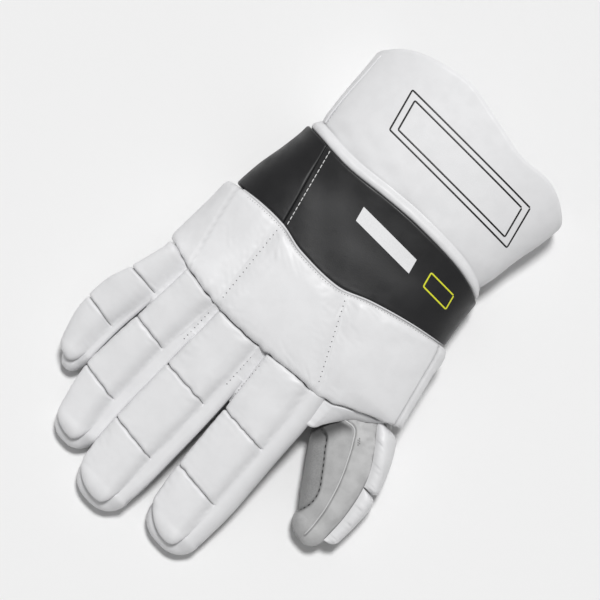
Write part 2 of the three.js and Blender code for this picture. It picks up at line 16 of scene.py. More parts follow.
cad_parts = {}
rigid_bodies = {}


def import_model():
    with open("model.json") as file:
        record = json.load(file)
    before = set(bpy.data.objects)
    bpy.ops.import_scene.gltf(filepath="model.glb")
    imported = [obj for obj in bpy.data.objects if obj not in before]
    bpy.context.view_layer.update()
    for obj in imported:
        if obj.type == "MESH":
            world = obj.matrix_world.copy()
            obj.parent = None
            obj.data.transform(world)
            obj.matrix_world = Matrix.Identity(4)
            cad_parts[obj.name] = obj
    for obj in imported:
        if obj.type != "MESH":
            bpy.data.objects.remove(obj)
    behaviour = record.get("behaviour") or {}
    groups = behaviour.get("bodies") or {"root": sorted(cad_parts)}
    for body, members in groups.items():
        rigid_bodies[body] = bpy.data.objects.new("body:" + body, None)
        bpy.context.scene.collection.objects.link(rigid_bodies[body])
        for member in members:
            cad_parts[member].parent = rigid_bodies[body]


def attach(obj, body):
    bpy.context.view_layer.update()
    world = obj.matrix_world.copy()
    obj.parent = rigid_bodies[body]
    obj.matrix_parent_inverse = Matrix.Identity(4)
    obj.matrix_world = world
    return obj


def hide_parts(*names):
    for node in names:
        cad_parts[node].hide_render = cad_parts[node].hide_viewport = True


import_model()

bl_info = {
    "name": "Bandy glove",
    "version": (1, 0, 0),
    "blender": (4, 5, 0),
    "location": "View3D > Sidebar > Glove",
    "description": "Builds a padded bandy glove in leather and suede round its frame",
    "category": "Object",
}

MM = 0.001
SHIFT = np.array([13.989, -7.168, 0.0])


# Pattern tables


def table(columns, *rows):
    """A table as one array for each of its columns."""
    return dict(zip(columns.split(), np.array(rows, float).T))


def lerp(a, b, share):
    """The value at a share of the way from a to b."""
    return a + (b - a) * share


def ease(value, start, end):
    """A smooth step from 0 at start to 1 at end."""
    t = np.clip((value - start) / (end - start), 0, 1)
    return t * t * (3 - 2 * t)


# right and left are the widest places, at the height mid, and crest is where the top is highest.
BODY = table(
    "y right left crest top mid bottom square",
    (-168, 71.5, -79.6, -3, 70, 31, 0, 2.5),
    (-140, 71.2, -79.0, -3, 69, 31, 0, 2.5),
    (-122, 70.0, -77.4, -2, 67.5, 30, 0, 2.5),
    (-106, 69.0, -74.6, -1, 66, 29, 0, 2.5),
    (-90, 67.2, -72.8, 0, 64, 28, 0, 2.5),
    (-76, 64.2, -70.0, 0, 60.5, 27, 0, 2.45),
    (-60, 65.6, -71.2, 0, 58, 26.5, 0, 2.4),
    (-40, 69.0, -74.6, 0, 56.5, 26, 0, 2.4),
    (-18, 70.0, -83.0, 0, 55, 25.5, 0, 2.3),
    (0, 70.0, -88.0, 0, 53.5, 25, 0, 2.2),
    (12, 70.6, -89.0, 2, 52, 25, 0, 2.2),
    (22, 71.6, -76.0, 4, 50.5, 25.5, 1.5, 2.3),
    (32, 72.8, -63.5, 6, 48.5, 26, 4.5, 2.7),
    (46, 75.4, -56.4, 8, 45, 27, 8.8, 3.2),
    (58, 79.0, -57.0, 9, 42.4, 27.5, 11.4, 3.6),
)

# pad_right and pad_left are the plan edges of a finger's pads.
FINGER_COLUMNS = "y right left top bottom pad_right pad_left"
FINGERS = {
    "little": {
        "rows": table(
            FINGER_COLUMNS,
            (34, 72.0, 60.2, 44.5, 5, 0, 61.5),
            (46, 75.4, 60.8, 41.8, 9, 0, 62.5),
            (58, 79.0, 61.3, 38.8, 11, 0, 63.5),
            (71, 83.8, 62.0, 35, 11, 0, 65.8),
            (86, 85.2, 63.2, 30.5, 8, 0, 67.6),
            (101, 83.4, 63.4, 26.5, 4, 0, 68.4),
            (115, 79.2, 63.0, 23, 0, 0, 68.0),
        ),
        "tip": (70.5, 128, 10),
        "seams": (((83, 56), (64, 58)), ((90, 86), (68, 90.5))),
    },
    "ring": {
        "rows": table(
            FINGER_COLUMNS,
            (34, 59.2, 28.9, 48.0, 5, 58.6, 34),
            (46, 60.0, 28.7, 44.8, 9, 59, 34.8),
            (58, 60.5, 28.5, 42, 12, 59.4, 35.6),
            (78, 61.8, 28.3, 37.5, 12, 60.4, 36.8),
            (98, 62.4, 28.0, 32.5, 9, 61.4, 36.8),
            (118, 62.2, 27.8, 27.5, 5, 61.2, 36.2),
            (145, 55.8, 26.2, 22, 0, 55, 33.8),
        ),
        "tip": (40.2, 159.6, 10),
        "seams": (((58, 75), (37, 78)), ((61, 116.5), (37, 120.5))),
    },
    "middle": {
        "rows": table(
            FINGER_COLUMNS,
            (34, 28.0, -8.6, 49.0, 5, 27.6, -2),
            (46, 27.8, -9.8, 46, 9, 27.4, -2.8),
            (58, 27.6, -11.2, 43.5, 12, 27.2, -3.3),
            (78, 27.4, -12.8, 39.5, 13, 27, -3.6),
            (98, 27.1, -13.6, 35.5, 11, 26.8, -3.8),
            (118, 26.9, -14.0, 31.5, 7.5, 26.6, -4.2),
            (140, 25.8, -14.2, 27, 3.5, 25.4, -4.6),
            (159, 23.4, -13.2, 23, 0, 22.8, -4.4),
        ),
        "tip": (4.5, 174.6, 10),
        "seams": (((26, 82), (-3, 84)), ((26, 126), (-3, 129.5))),
    },
    "index": {
        "rows": table(
            FINGER_COLUMNS,
            (34, -9.6, -53.5, 47.5, 5, -10.2, -42),
            (46, -10.8, -55.6, 44.5, 9, -11.6, -43.8),
            (58, -12.6, -57.0, 42, 12, -13.4, -45.4),
            (78, -15.4, -58.4, 38, 12, -16, -47),
            (98, -17.2, -60.0, 33.5, 9, -17.6, -48.6),
            (120, -19.4, -61.6, 28.5, 5, -19.8, -50.4),
            (148, -23.6, -61.4, 23, 0, -24.2, -51.6),
        ),
        "tip": (-44, 163, 10),
        "seams": (((-16, 77), (-47, 79)), ((-19, 119.5), (-50, 122.5))),
    },
}

# seam is the plan place of the edge of the thumb's white back.
THUMB_ROWS = table(
    "y right left top bottom seam",
    (4, -62.0, -85.0, 27, 2, -78),
    (19, -59.0, -94.0, 33.5, 0.8, -84),
    (30, -57.8, -100.6, 36, 0, -92.5),
    (40, -57.4, -105.0, 37, 0, -99.6),
    (50, -59.8, -108.6, 36.5, 0, -104.4),
    (62, -67.2, -111.4, 35, 0, -107.8),
    (76, -77.4, -112.0, 32.5, 0, -110),
    (89, -87.2, -111.8, 29, 0, -110.6),
)
THUMB_TIP = (-102.5, 101.6, 13)
THUMB_NOTCH = 52


def outline(*points):
    """A plan outline, which gives y along x."""
    return table("x y", *points)


CUFF_MOUTH = outline(
    (-79.6, -138.5), (-77.4, -142), (-66, -149.5), (-54, -153), (-32, -151.5), (-16, -154.6),
    (-4, -157), (17, -160.8), (31, -159.3), (48.6, -154.6), (61, -148), (71.4, -137.5),
)
BAND_REAR = outline(
    (-75, -71), (-65, -76), (-48.5, -79), (-18, -79.5), (5, -78), (35, -75), (69, -77),
)
BAND_FRONT = outline(
    (-80, -41.5), (-54, -36), (-29, -28.5), (-10, -21), (20, -20.5), (37, -24), (56, -24),
    (76, -21.5),
)
KNUCKLE_FRONT = outline(
    (-97, 10.5), (-79, 17), (-63.5, 24), (-51, 30.5), (-44, 33), (-31, 33), (-15, 35), (7, 37),
    (31.5, 37), (58, 33), (79, 27),
)
WEB_FRONT = outline((-84, 20), (-73, 26), (-66, 32), (-62, 41), (-57, 48), (-44, 52))

# Plan lines, from the cuff's side to the fingers' side.
BAND_SEAM = ((51, -77), (37, -24))
OUTER_CHANNEL = ((39, -23.5), (32.6, 36.5))
THUMB_CHANNEL = ((-17, -22), (-45, 32))
WELT_SEAM = ((-80, -36), (-92.5, 12))
OUTER_FOLD = ((72.5, -16), (61.5, 28))

CUFF_START = -81
CUFF_SIDE_END = -139
CUFF_LEATHER = 2.6
BODY_START = -80.6
FINGER_START = 58
LEATHER = 2
PAD_GAP = 0.35
SIDE_SEAM = 17
SIDE_ANGLE = -6
THUMB_SIDE_ANGLE = 183
THUMB_UNDER_ANGLE = 200
WRAP_ANGLE = 12
UNDER_HEIGHT = 7
RIM = 6.5
TIP_SAG = 0.022


def column_at(rows, column, place, key="y"):
    """The value of one column at places along a table, on a smooth curve through its rows."""
    keys, values = rows[key], rows[column]
    last = len(keys) - 1
    at = np.clip(place, keys[0], keys[-1])
    i = np.searchsorted(keys[1:-1], at, side="left")
    before, after = np.maximum(np.arange(last + 1) - 1, 0), np.minimum(np.arange(last + 1) + 1, last)
    slopes = (values[after] - values[before]) / (keys[after] - keys[before])
    step = keys[i + 1] - keys[i]
    t = (at - keys[i]) / step
    start = (2 * t**3 - 3 * t**2 + 1) * values[i] + (t**3 - 2 * t**2 + t) * slopes[i] * step
    return start + (3 * t**2 - 2 * t**3) * values[i + 1] + (t**3 - t**2) * slopes[i + 1] * step


def edge_y(points, shift=0.0):
    """A plan outline as a function of x."""
    return lambda x: column_at(points, "y", x, key="x") + shift


def line_x(line, shift=0.0):
    """A plan line as a function of y."""
    (x0, y0), (x1, y1) = line
    return lambda y: lerp(x0, x1, (y - y0) / (y1 - y0)) + shift


def line_y(line, shift=0.0):
    """A plan line as a function of x."""
    (x0, y0), (x1, y1) = line
    return lambda x: lerp(y0, y1, (x - x0) / (x1 - x0)) + shift


def always(value):
    """A function that gives the same value everywhere."""
    return lambda place: np.full(np.shape(place), float(value))


# Skins

FOOT_SQUARE = 3.2
FOOT_DEPTH = 1.15


def section(row, y, angle, out):
    """Points of a rounded section: angle 0 faces +X, 90 is up, and out is the height off the skin."""
    c, s = np.cos(np.radians(angle)), np.sin(np.radians(angle))
    square = np.where(s >= 0, row["square"], FOOT_SQUARE)
    rise = np.where(s >= 0, row["top"] - row["mid"], (row["mid"] - row["bottom"]) * FOOT_DEPTH)
    up = np.sign(s) * (rise + out) * np.abs(s) ** (2 / square)
    flank = np.where(c >= 0, row["right"] - row["crest"], row["crest"] - row["left"])
    lean = np.where((c < 0) & (s > 0), row["lean"] * up / rise, 0)
    across = np.sign(c) * (flank * (1 - lean) + out) * np.abs(c) ** (2 / square)
    z = np.maximum(row["mid"] + up, row["bottom"] - out)
    return np.stack(np.broadcast_arrays(row["crest"] + across, y, z), axis=-1)


def body_skin(y, angle, out):
    """The leather of the hand's body and the cuff."""
    row = {column: column_at(BODY, column, y) for column in BODY}
    return section({**row, "lean": 0.0}, y, angle, out)


STALL_SQUARE = 3
ROOT_SQUARE = 6
ROOT_FREE = (52, 80)
DOME_BLUNT = 0.42


class Stall:
    """The leather of a finger or the thumb: it follows its rows and closes in a dome at its tip."""

    def __init__(self, rows, tip, lean, middle):
        self.rows, self.tip, self.lean, self.middle = rows, tip, lean, middle
        self.shoulder = rows["y"][-1]

    def row_at(self, y):
        """The section at each y."""
        row = {column: column_at(self.rows, column, y) for column in ("right", "left", "top", "bottom")}
        free = ease(y, *ROOT_FREE)
        row["crest"] = (row["right"] + row["left"]) / 2
        row["mid"] = lerp(row["bottom"], row["top"], self.middle)
        row["square"] = lerp(ROOT_SQUARE, STALL_SQUARE, free) if self.lean else STALL_SQUARE
        row["lean"] = self.lean * free
        return row

    def skin(self, y, angle, out):
        """Points on the leather, or at the height out over it."""
        y = np.asarray(y, float)
        straight = np.minimum(y, self.shoulder)
        point = section(self.row_at(straight), straight, angle, out)
        turn = np.clip((y - self.shoulder) / (self.tip[1] - self.shoulder), 0, 1)
        shrink = (1 - turn**2) ** DOME_BLUNT
        point[..., 0] = lerp(self.tip[0], point[..., 0], shrink)
        point[..., 1] = y + out * turn
        point[..., 2] = lerp(self.tip[2], point[..., 2], shrink)
        return point


stalls = {
    name: Stall(finger["rows"], finger["tip"], lean=0.05, middle=0.45)
    for name, finger in FINGERS.items()
}
thumb = Stall(THUMB_ROWS, THUMB_TIP, lean=0.0, middle=0.42)

HALVINGS = 30


def seek(low, high, reached):
    """The places from low to high where reached turns true."""
    low, high = np.asarray(low, float), np.asarray(high, float)
    for _ in range(HALVINGS):
        half = (low + high) / 2
        found = reached(half)
        low, high = np.where(found, low, half), np.where(found, half, high)
    return (low + high) / 2


def angle_over(skin, y, x, out):
    """The angles at which a skin's upper half passes over plan places."""
    ends = np.full(np.broadcast(y, x).shape, 2.0), np.full(np.broadcast(y, x).shape, 178.0)
    return seek(*ends, lambda angle: skin(y, angle, out)[..., 0] <= x)


def angle_at_height(skin, y, height, low):
    """The angles at which a skin passes a height, on the side that starts at the angle low."""
    starts = np.full(np.shape(y), float(low))
    return seek(starts, np.full(np.shape(y), 90.0), lambda angle: skin(y, angle, 0)[..., 2] >= height)


def beside(skin, edge, out, shift=0.0):
    """An edge that is known in plan, as an angle along y."""
    return lambda y: angle_over(skin, y, edge(y) + shift, out)


# Places on a skin

QUADRANT = np.linspace(0, 1, 90)[:-1]
CROWDED = QUADRANT**3 / (QUADRANT**3 + (1 - QUADRANT) ** 3)
ALL_ANGLES = np.concatenate([90 * (k + CROWDED) for k in range(-2, 4)])
LOOKUP_STEP = 1.5
ROUNDS = 9


def even_angles(skin, y, right, left, shares, out):
    """The angles at even shares of the way over a skin, for one y."""
    inside = ALL_ANGLES[(ALL_ANGLES > right + 0.01) & (ALL_ANGLES < left - 0.01)]
    angles = np.concatenate([[right], inside, [left]])
    points = skin(np.full(len(angles), float(y)), angles, out)
    steps = np.linalg.norm(np.diff(points, axis=0), axis=1) + 1e-6
    run = np.concatenate([[0], np.cumsum(steps)])
    return np.interp(shares * run[-1], run, angles)


def patch(skin, rear, front, right, left, along, across, out):
    """The y and the angle of a grid of places between four edges of a patch on a skin."""
    xs = np.linspace(-110, 90, 60)
    places = np.arange(rear(xs).min() - 3, front(xs).max() + 3, LOOKUP_STEP)
    rights, lefts = right(places), left(places)
    lookup = np.array([
        even_angles(skin, y, a, b, across, out) for y, a, b in zip(places, rights, lefts)
    ])
    t = along[:, None]
    y = lerp(rear(np.zeros((1, len(across)))), front(np.zeros((1, len(across)))), t)
    for _ in range(ROUNDS):
        angle = np.stack([
            np.interp(y[:, j], places, lookup[:, j]) for j in range(len(across))
        ], axis=1)
        x = skin(y, angle, out)[..., 0]
        y = lerp(rear(x), front(x), t)
    return y, angle


def crowd(count, share=0.6):
    """Shares from 0 to 1 that lie closer together at both ends."""
    even = np.linspace(0, 1, count + 1)
    return lerp(even, 0.5 - 0.5 * np.cos(np.pi * even), share)


def runs(points, axis):
    """How far each point of a grid is from the grid's first and last line, along the surface."""
    steps = np.linalg.norm(np.diff(points, axis=axis), axis=-1)
    run = np.concatenate([np.zeros_like(np.take(steps, [0], axis)), np.cumsum(steps, axis)], axis)
    return run, np.take(run, [-1], axis) - run


def ripple(points, size, seed, waves=9):
    """A smooth random height of about -1 to 1, whose bumps are of the given size in mm."""
    random = np.random.default_rng(seed)
    height = np.zeros(points.shape[:-1])
    for _ in range(waves):
        direction = random.normal(size=3)
        direction *= 2 * np.pi * random.uniform(0.6, 1.3) / (size * np.linalg.norm(direction))
        height += np.sin(points @ direction + random.uniform(0, 2 * np.pi))
    return height / math.sqrt(waves)


def round_off(distance, radius):
    """A quarter round, from 0 at an edge to 1 at the radius from it."""
    return np.sqrt(1 - (1 - np.clip(distance / radius, 0, 1)) ** 2)


def bell(distance, width):
    """A round bump that is 1 at no distance and fades over the width."""
    return np.exp(-((distance / width) ** 2))


# Meshes

SHARP_FROM = math.radians(50)
MERGE_WITHIN = 0.00002


def carry(mesh, name, values):
    """Stores a number at each point of a mesh, for its finish."""
    mesh.attributes.new(name, "FLOAT", "POINT").data.foreach_set("value", np.ravel(values))


def make_mesh(name, points, faces, finish, nodes=(), slot="white_leather", painted_shade=None, merge=False):
    """A piece of the glove from points in mm and its faces, which stands for the named nodes."""
    mesh = bpy.data.meshes.new(name)
    mesh.from_pydata(((np.asarray(points) + SHIFT) * MM).tolist(), [], faces)
    # The crease attribute carries the painted shade of seams and grooves for the finish.
    if painted_shade is not None:
        carry(mesh, "crease", painted_shade)
    tidy = bmesh.new()
    tidy.from_mesh(mesh)
    if merge:
        bmesh.ops.remove_doubles(tidy, verts=tidy.verts, dist=MERGE_WITHIN)
    bmesh.ops.recalc_face_normals(tidy, faces=tidy.faces)
    tidy.to_mesh(mesh)
    tidy.free()
    mesh.shade_smooth()
    mesh.set_sharp_from_angle(angle=SHARP_FROM)
    mesh.materials.append(finish)
    piece = bpy.data.objects.new(f"{name}_cover" if nodes else name, mesh)
    bpy.context.scene.collection.objects.link(piece)
    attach(piece, "root")
    if nodes:
        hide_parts(*nodes)
    return piece


def grid_faces(rows, columns, start=0, closed=False, flip=False):
    """The faces of a grid of points, with its last column joined to its first if it is closed."""
    i, j = np.meshgrid(np.arange(rows - 1), np.arange(columns if closed else columns - 1), indexing="ij")
    k = (j + 1) % columns
    faces = np.stack([i * columns + j, (i + 1) * columns + j, (i + 1) * columns + k, i * columns + k], -1)
    faces = faces.reshape(-1, 4) + start
    return (faces[:, ::-1] if flip else faces).tolist()


def slab_faces(rows, columns):
    """The faces of two grids, one over the other, that are joined round their borders."""
    under = rows * columns
    border = [(i, 0) for i in range(rows - 1)] + [(rows - 1, j) for j in range(columns - 1)]
    border += [(i, columns - 1) for i in range(rows - 1, 0, -1)] + [(0, j) for j in range(columns - 1, 0, -1)]
    ring = [i * columns + j for i, j in border]
    walls = [[a, b, b + under, a + under] for a, b in zip(ring, ring[1:] + ring[:1])]
    return grid_faces(rows, columns) + grid_faces(rows, columns, under, flip=True) + walls


def slab(name, over, under, finish, painted_shade=None, **extra):
    """A closed piece between two grids of points."""
    rows, columns = over.shape[:2]
    points = np.concatenate([over.reshape(-1, 3), under.reshape(-1, 3)])
    # The underside is painted fully dark: painted shade under the piece.
    if painted_shade is not None:
        painted_shade = np.concatenate([painted_shade.ravel(), np.ones(rows * columns)])
    return make_mesh(name, points, slab_faces(rows, columns), finish, painted_shade=painted_shade, **extra)


# Padding

PRESSURE = 4.0
STEPS = 20


def swell(piece, held, most):
    """Swells a pad as cloth under pressure with its sewn points held, and caps how far it moves."""
    scene = bpy.context.scene
    rest = np.array([v.co for v in piece.data.vertices])
    group = piece.vertex_groups.new(name="sewn")
    group.add([int(i) for i in held], 1.0, "REPLACE")
    cloth = piece.modifiers.new("Cloth", "CLOTH")
    cloth.settings.vertex_group_mass = "sewn"
    cloth.settings.use_pressure = True
    cloth.settings.uniform_pressure_force = PRESSURE
    cloth.settings.effector_weights.gravity = 0
    for step in range(1, STEPS + 1):
        scene.frame_set(step)
    view = bpy.context.evaluated_depsgraph_get()
    swollen = np.array([v.co for v in piece.evaluated_get(view).data.vertices])
    piece.modifiers.remove(cloth)
    piece.vertex_groups.remove(group)
    scene.frame_set(1)
    move = swollen - rest
    far = np.linalg.norm(move, axis=1, keepdims=True)
    move *= np.minimum(1, most * MM / np.maximum(far, 1e-9))
    piece.data.vertices.foreach_set("co", (rest + move).ravel())


class Border:
    """How a pad meets one of its edges: the share of its height there, its rounding, and its shade."""

    def __init__(self, height, radius, dark=0.0, soft=False):
        self.height, self.radius, self.dark, self.soft = height, radius, dark, soft

    def rise(self, distance):
        """The share of the pad's full height at a distance from the edge."""
        share = ease(distance, 0, self.radius) if self.soft else round_off(distance, self.radius)
        return self.height + (1 - self.height) * share


# The small puckers near a pad's edges, the wide dents on its top, and the shade in its seams.
PUCKER = 0.16
PUCKER_SIZE = 5
PUCKER_REACH = 4.0
PUCKER_STRETCH = (1, 1.6, 1)
DENT = 0.16
DENT_SIZE = 22
CALM_EDGE = 1.5
SHADE_REACH = 0.4
RAGGED_SIZE = 3
FEWEST_LINES = 6
EDGE_SHARE = 0.3
PUFF = 0.35


def edge_height(thick):
    """The height over a skin at which the edges of a pad are set out."""
    return PAD_GAP + EDGE_SHARE * thick


def body_line(line, thick, shift=0.0):
    """A plan line on the body as an angle along y, for the edge of a pad."""
    return beside(body_skin, line_x(line), edge_height(thick), shift)


def wavy(edge, wave, seed):
    """A line that wanders a little, as a sewn seam does."""
    random = np.random.default_rng(seed)
    phases = random.uniform(0, 2 * np.pi, 4)
    lengths = random.uniform(3.5, 13, 4)
    return lambda x: edge(x) + wave * sum(
        np.sin(2 * np.pi * x / length + phase) for length, phase in zip(lengths, phases)
    ) / 2


def flat(points):
    """No change of height, and no shade."""
    return np.zeros(points.shape[:-1])


def pad(
    name, finish, skin, rear, front, right, left, thick, borders, seed,
    form=flat, mark=flat, fade=0.0, pucker=PUCKER, puff=0.0, **extra,
):
    """A stuffed pad on a skin. rear and front give y along x, and right and left an angle along y.

    form adds to its height and mark shades it, and both are functions of the places on its top.
    Cloth under pressure then moves it by up to puff mm.
    """
    edge, few = edge_height(thick), np.linspace(0, 1, 5)
    size, pitch = skin(*patch(skin, rear, front, right, left, few, few, edge), edge), sizes()["pitch"]
    rows = max(int(runs(size, 0)[0][-1].max() / pitch), FEWEST_LINES)
    columns = max(int(runs(size, 1)[0][:, -1].max() / pitch), FEWEST_LINES)
    y, angle = patch(skin, rear, front, right, left, crowd(rows), crowd(columns), edge)
    base = skin(y, angle, PAD_GAP)
    distances = [*runs(base, 0), *runs(base, 1)]
    rise = np.prod([border.rise(d) for border, d in zip(borders, distances)], axis=0)
    nearest = np.min(distances, axis=0)
    inside = ease(nearest, 0, CALM_EDGE)
    wrinkle = pucker * ripple(base * PUCKER_STRETCH, PUCKER_SIZE, seed) * np.exp(-nearest / PUCKER_REACH)
    top = skin(y, angle, PAD_GAP + thick)
    lift = thick * rise + inside * (wrinkle + DENT * ripple(base, DENT_SIZE, seed + 1) + form(top))
    over = skin(y, angle, PAD_GAP + lift)
    # Painted shade: the top is darkened near each border that has a dark share, as shade in the seams and
    # grooves, and by what mark paints.
    ragged = 0.75 + 0.5 * ripple(base, RAGGED_SIZE, seed + 2)
    shade = [border.dark * np.exp(-d / SHADE_REACH) for border, d in zip(borders, distances)]
    painted_shade = np.clip(np.max(shade, axis=0) * ragged * ease(distances[3], 0, fade + 0.01) + mark(top), 0, 1)
    piece = slab(name, over, base, finish, painted_shade=painted_shade, **extra)
    if puff:
        grid = np.arange(y.size).reshape(y.shape)
        sewn = np.concatenate([grid[0], grid[-1], grid[:, 0], grid[:, -1], grid.ravel() + y.size])
        swell(piece, sewn, puff)
    return piece


# Seams


def on_skin(skin, points, out):
    """Points in plan as points over a skin."""
    plan = np.asarray(points, float)
    angle = angle_over(skin, plan[:, 1], plan[:, 0], out)
    return skin(plan[:, 1], angle, out)


DROP_FROM = 0.2
SMOOTHING = np.array([1, 2, 3, 2, 1]) / 9


def smoothed(values):
    """A path's values, each averaged with its neighbours."""
    padded = np.concatenate([values[:1], values[:1], values, values[-1:], values[-1:]])
    return np.stack([np.convolve(column, SMOOTHING, "valid") for column in padded.T], -1)


def lay(pieces, plan):
    """The points and normals where plan places lie on the pieces, seen from above."""
    trees = [
        BVHTree.FromPolygons([v.co for v in p.data.vertices], [f.vertices for f in p.data.polygons])
        for p in pieces
    ]
    points, normals = [], []
    for x, y in plan:
        start = Vector(((x + SHIFT[0]) * MM, (y + SHIFT[1]) * MM, DROP_FROM))
        hits = [tree.ray_cast(start, Vector((0, 0, -1)))[:2] for tree in trees]
        hits = [hit for hit in hits if hit[0] is not None]
        if hits:
            place, normal = max(hits, key=lambda hit: hit[0].z)
            points.append(np.array(place) / MM - SHIFT)
            normals.append(np.array(normal))
    return np.array(points), np.array(normals)


def unit(vectors):
    """Vectors brought to a length of 1."""
    return vectors / np.linalg.norm(vectors, axis=1, keepdims=True)


def drop(pieces, plan, step=0.8):
    """The smoothed points and normals of a plan path that is laid on the pieces."""
    points, normals = lay(pieces, resample(plan, step))
    return smoothed(points), unit(smoothed(normals))


def sew(
    name, pieces, plan, finish,
    length=2.2, gap=0.9, width=0.6, height=0.5, lift=0.0, slot="white_leather",
):
    """A row of stitches that lies on the pieces along a plan path."""
    path, away = drop(pieces, plan)
    points, faces = stitches(path + away * lift, away, length, gap, width, height)
    return make_mesh(name, points, faces, finish_of(finish), slot=slot)


def run_along(points):
    """How far each point of a path is from its start."""
    return np.concatenate([[0], np.cumsum(np.linalg.norm(np.diff(points, axis=0), axis=1))])


def between(path, run, places):
    """The points of a path at places along its run."""
    return np.stack([np.interp(places, run, column) for column in path.T], -1)


def resample(points, step):
    """A path at even steps."""
    points = np.asarray(points, float)
    run = run_along(points)
    return between(points, run, np.linspace(0, run[-1], max(int(run[-1] / step), 1) + 1))


def along_line(line, shares, shift=0.0):
    """Points at shares of the way along a plan line, moved by shift across it."""
    (x0, y0), (x1, y1) = line
    return [(lerp(x0, x1, t) + shift, lerp(y0, y1, t)) for t in shares]


def along_edge(points, start, end, count, shift=0.0):
    """Points along a plan outline, from x start to x end."""
    xs = np.linspace(start, end, count)
    return np.stack([xs, edge_y(points, shift)(xs)], -1)


def normals_of(skin, path, out):
    """The directions away from a skin at the points of a path over it."""
    angle = angle_over(skin, path[:, 1], path[:, 0], out)
    return unit(skin(path[:, 1], angle, out + 1) - skin(path[:, 1], angle, out - 1))


BEAD_END = 0.35
STITCH_ARCH = np.array([-0.35, 0.12, 0.2, 0.12, -0.35])
HOLE = {"length": 0.75, "width": 0.75, "height": 0.25}


def bead(path, normals, width, height, sides=8):
    """The points and faces of a rounded cord along a path."""
    ahead = unit(np.gradient(path, axis=0))
    side = unit(np.cross(ahead, normals))
    normal = np.cross(side, ahead)
    turns = 2 * np.pi * np.arange(sides) / sides
    taper = np.ones(len(path))
    taper[[0, -1]] = BEAD_END
    ring = (
        side[:, None] * (np.cos(turns) * width / 2)[None, :, None]
        + normal[:, None] * (np.sin(turns) * height / 2)[None, :, None]
    )
    points = (path[:, None] + ring * taper[:, None, None]).reshape(-1, 3)
    faces = grid_faces(len(path), sides, closed=True)
    last = (len(path) - 1) * sides
    faces += [list(range(sides))[::-1], list(range(last, last + sides))]
    return points, faces


def gather(parts):
    """Several sets of points and faces as one."""
    points, faces, start = [], [], 0
    for part_points, part_faces in parts:
        points.append(part_points)
        faces += [[i + start for i in face] for face in part_faces]
        start += len(part_points)
    return np.concatenate(points), faces


def stitches(path, normals, length, gap, width, height):
    """The points and faces of a row of thread stitches along a path."""
    run = run_along(path)
    arch = height * STITCH_ARCH[:, None]
    parts = []
    for i in range(int((run[-1] - length) / (length + gap)) + 1):
        places = i * (length + gap) + np.linspace(0, length, len(STITCH_ARCH))
        line, away = between(path, run, places), between(normals, run, places)
        parts.append(bead(line + away * arch, away, width, height, sides=6))
    return gather(parts)


def cord(name, path, away, width, height, finish, slot="white_leather"):
    """A rounded cord of leather along a path."""
    points, faces = bead(path, away, width, height)
    make_mesh(name, points, faces, finish_of(finish), slot=slot, painted_shade=np.zeros(len(points)))


# Finishes


class Signal:
    """A socket of a finish's nodes that takes part in sums."""

    def __init__(self, finish, socket):
        self.finish, self.socket = finish, socket

    def maths(self, operation, *values):
        """A Math node on these values."""
        inputs = dict(enumerate(values))
        return self.finish.node("ShaderNodeMath", {"operation": operation}, inputs)

    def __add__(self, other):
        return self.maths("ADD", self, other)

    def __sub__(self, other):
        return self.maths("SUBTRACT", self, other)

    def __rsub__(self, other):
        return self.maths("SUBTRACT", other, self)

    def __mul__(self, other):
        return self.maths("MULTIPLY", self, other)

    def __pow__(self, other):
        return self.maths("POWER", self, other)

    __radd__ = __add__
    __rmul__ = __mul__


SOCKETS = {"specular": "Specular IOR Level", "sheen": "Sheen Weight"}


class Finish:
    """A procedural material under construction."""

    def __init__(self, name, roughness, **uniform):
        self.material = bpy.data.materials.new(name)
        self.material.use_nodes = True
        self.tree = self.material.node_tree
        self.shader = self.tree.nodes["Principled BSDF"]
        self.shader.inputs["Roughness"].default_value = roughness
        for socket, value in uniform.items():
            self.shader.inputs[SOCKETS[socket]].default_value = value

    def feed(self, socket, value):
        """Sets a socket's value or links a signal to it."""
        if isinstance(value, Signal):
            self.tree.links.new(value.socket, socket)
        else:
            socket.default_value = value

    def node(self, kind, settings=None, inputs=None, output=0):
        """A node, with its settings made first and then its sockets."""
        made = self.tree.nodes.new(kind)
        for key, value in (settings or {}).items():
            setattr(made, key, value)
        for key, value in (inputs or {}).items():
            self.feed(made.inputs[key], value)
        return Signal(self, made.outputs[output])

    def place(self):
        """The place on the piece in millimetres."""
        object_place = self.node("ShaderNodeTexCoord", output="Object")
        return self.node(
            "ShaderNodeVectorMath", {"operation": "SCALE"}, {"Vector": object_place, "Scale": 1000.0}
        )

    def noise(self, place, size, detail=3.0):
        """Soft noise whose bumps are of the given size in mm."""
        return self.node(
            "ShaderNodeTexNoise", None, {"Vector": place, "Scale": 1.0 / size, "Detail": detail}
        )

    def cells(self, place, size):
        """The distance to the edge of small cells, such as the grain of leather."""
        return self.node(
            "ShaderNodeTexVoronoi", {"feature": "DISTANCE_TO_EDGE"}, {"Vector": place, "Scale": 1.0 / size}
        )

    def attribute(self, name):
        """A number that the mesh carries at its points."""
        return self.node("ShaderNodeAttribute", {"attribute_name": name}, output="Fac")

    def range(self, value, low, high, start=0.0, end=1.0):
        """A value mapped from low and high to start and end, and held between them."""
        inputs = {"Value": value, "From Min": low, "From Max": high, "To Min": start, "To Max": end}
        return self.node("ShaderNodeMapRange", {"interpolation_type": "SMOOTHSTEP"}, inputs)

    def mix(self, factor, first, second):
        """A colour between two others."""
        return self.node(
            "ShaderNodeMix", {"data_type": "RGBA"}, {0: factor, 6: first, 7: second}, output=2
        )

    def bump(self, height, depth, strength=1.0):
        """The normal for a height from 0 to 1 that is depth mm deep."""
        return self.node(
            "ShaderNodeBump", None, {"Height": height, "Distance": depth * MM, "Strength": strength}
        )

    def done(self, colour, normal, roughness=None):
        """Links the last signals and gives the material."""
        self.feed(self.shader.inputs["Base Color"], colour)
        self.feed(self.shader.inputs["Normal"], normal)
        if roughness is not None:
            self.feed(self.shader.inputs["Roughness"], roughness)
        return self.material


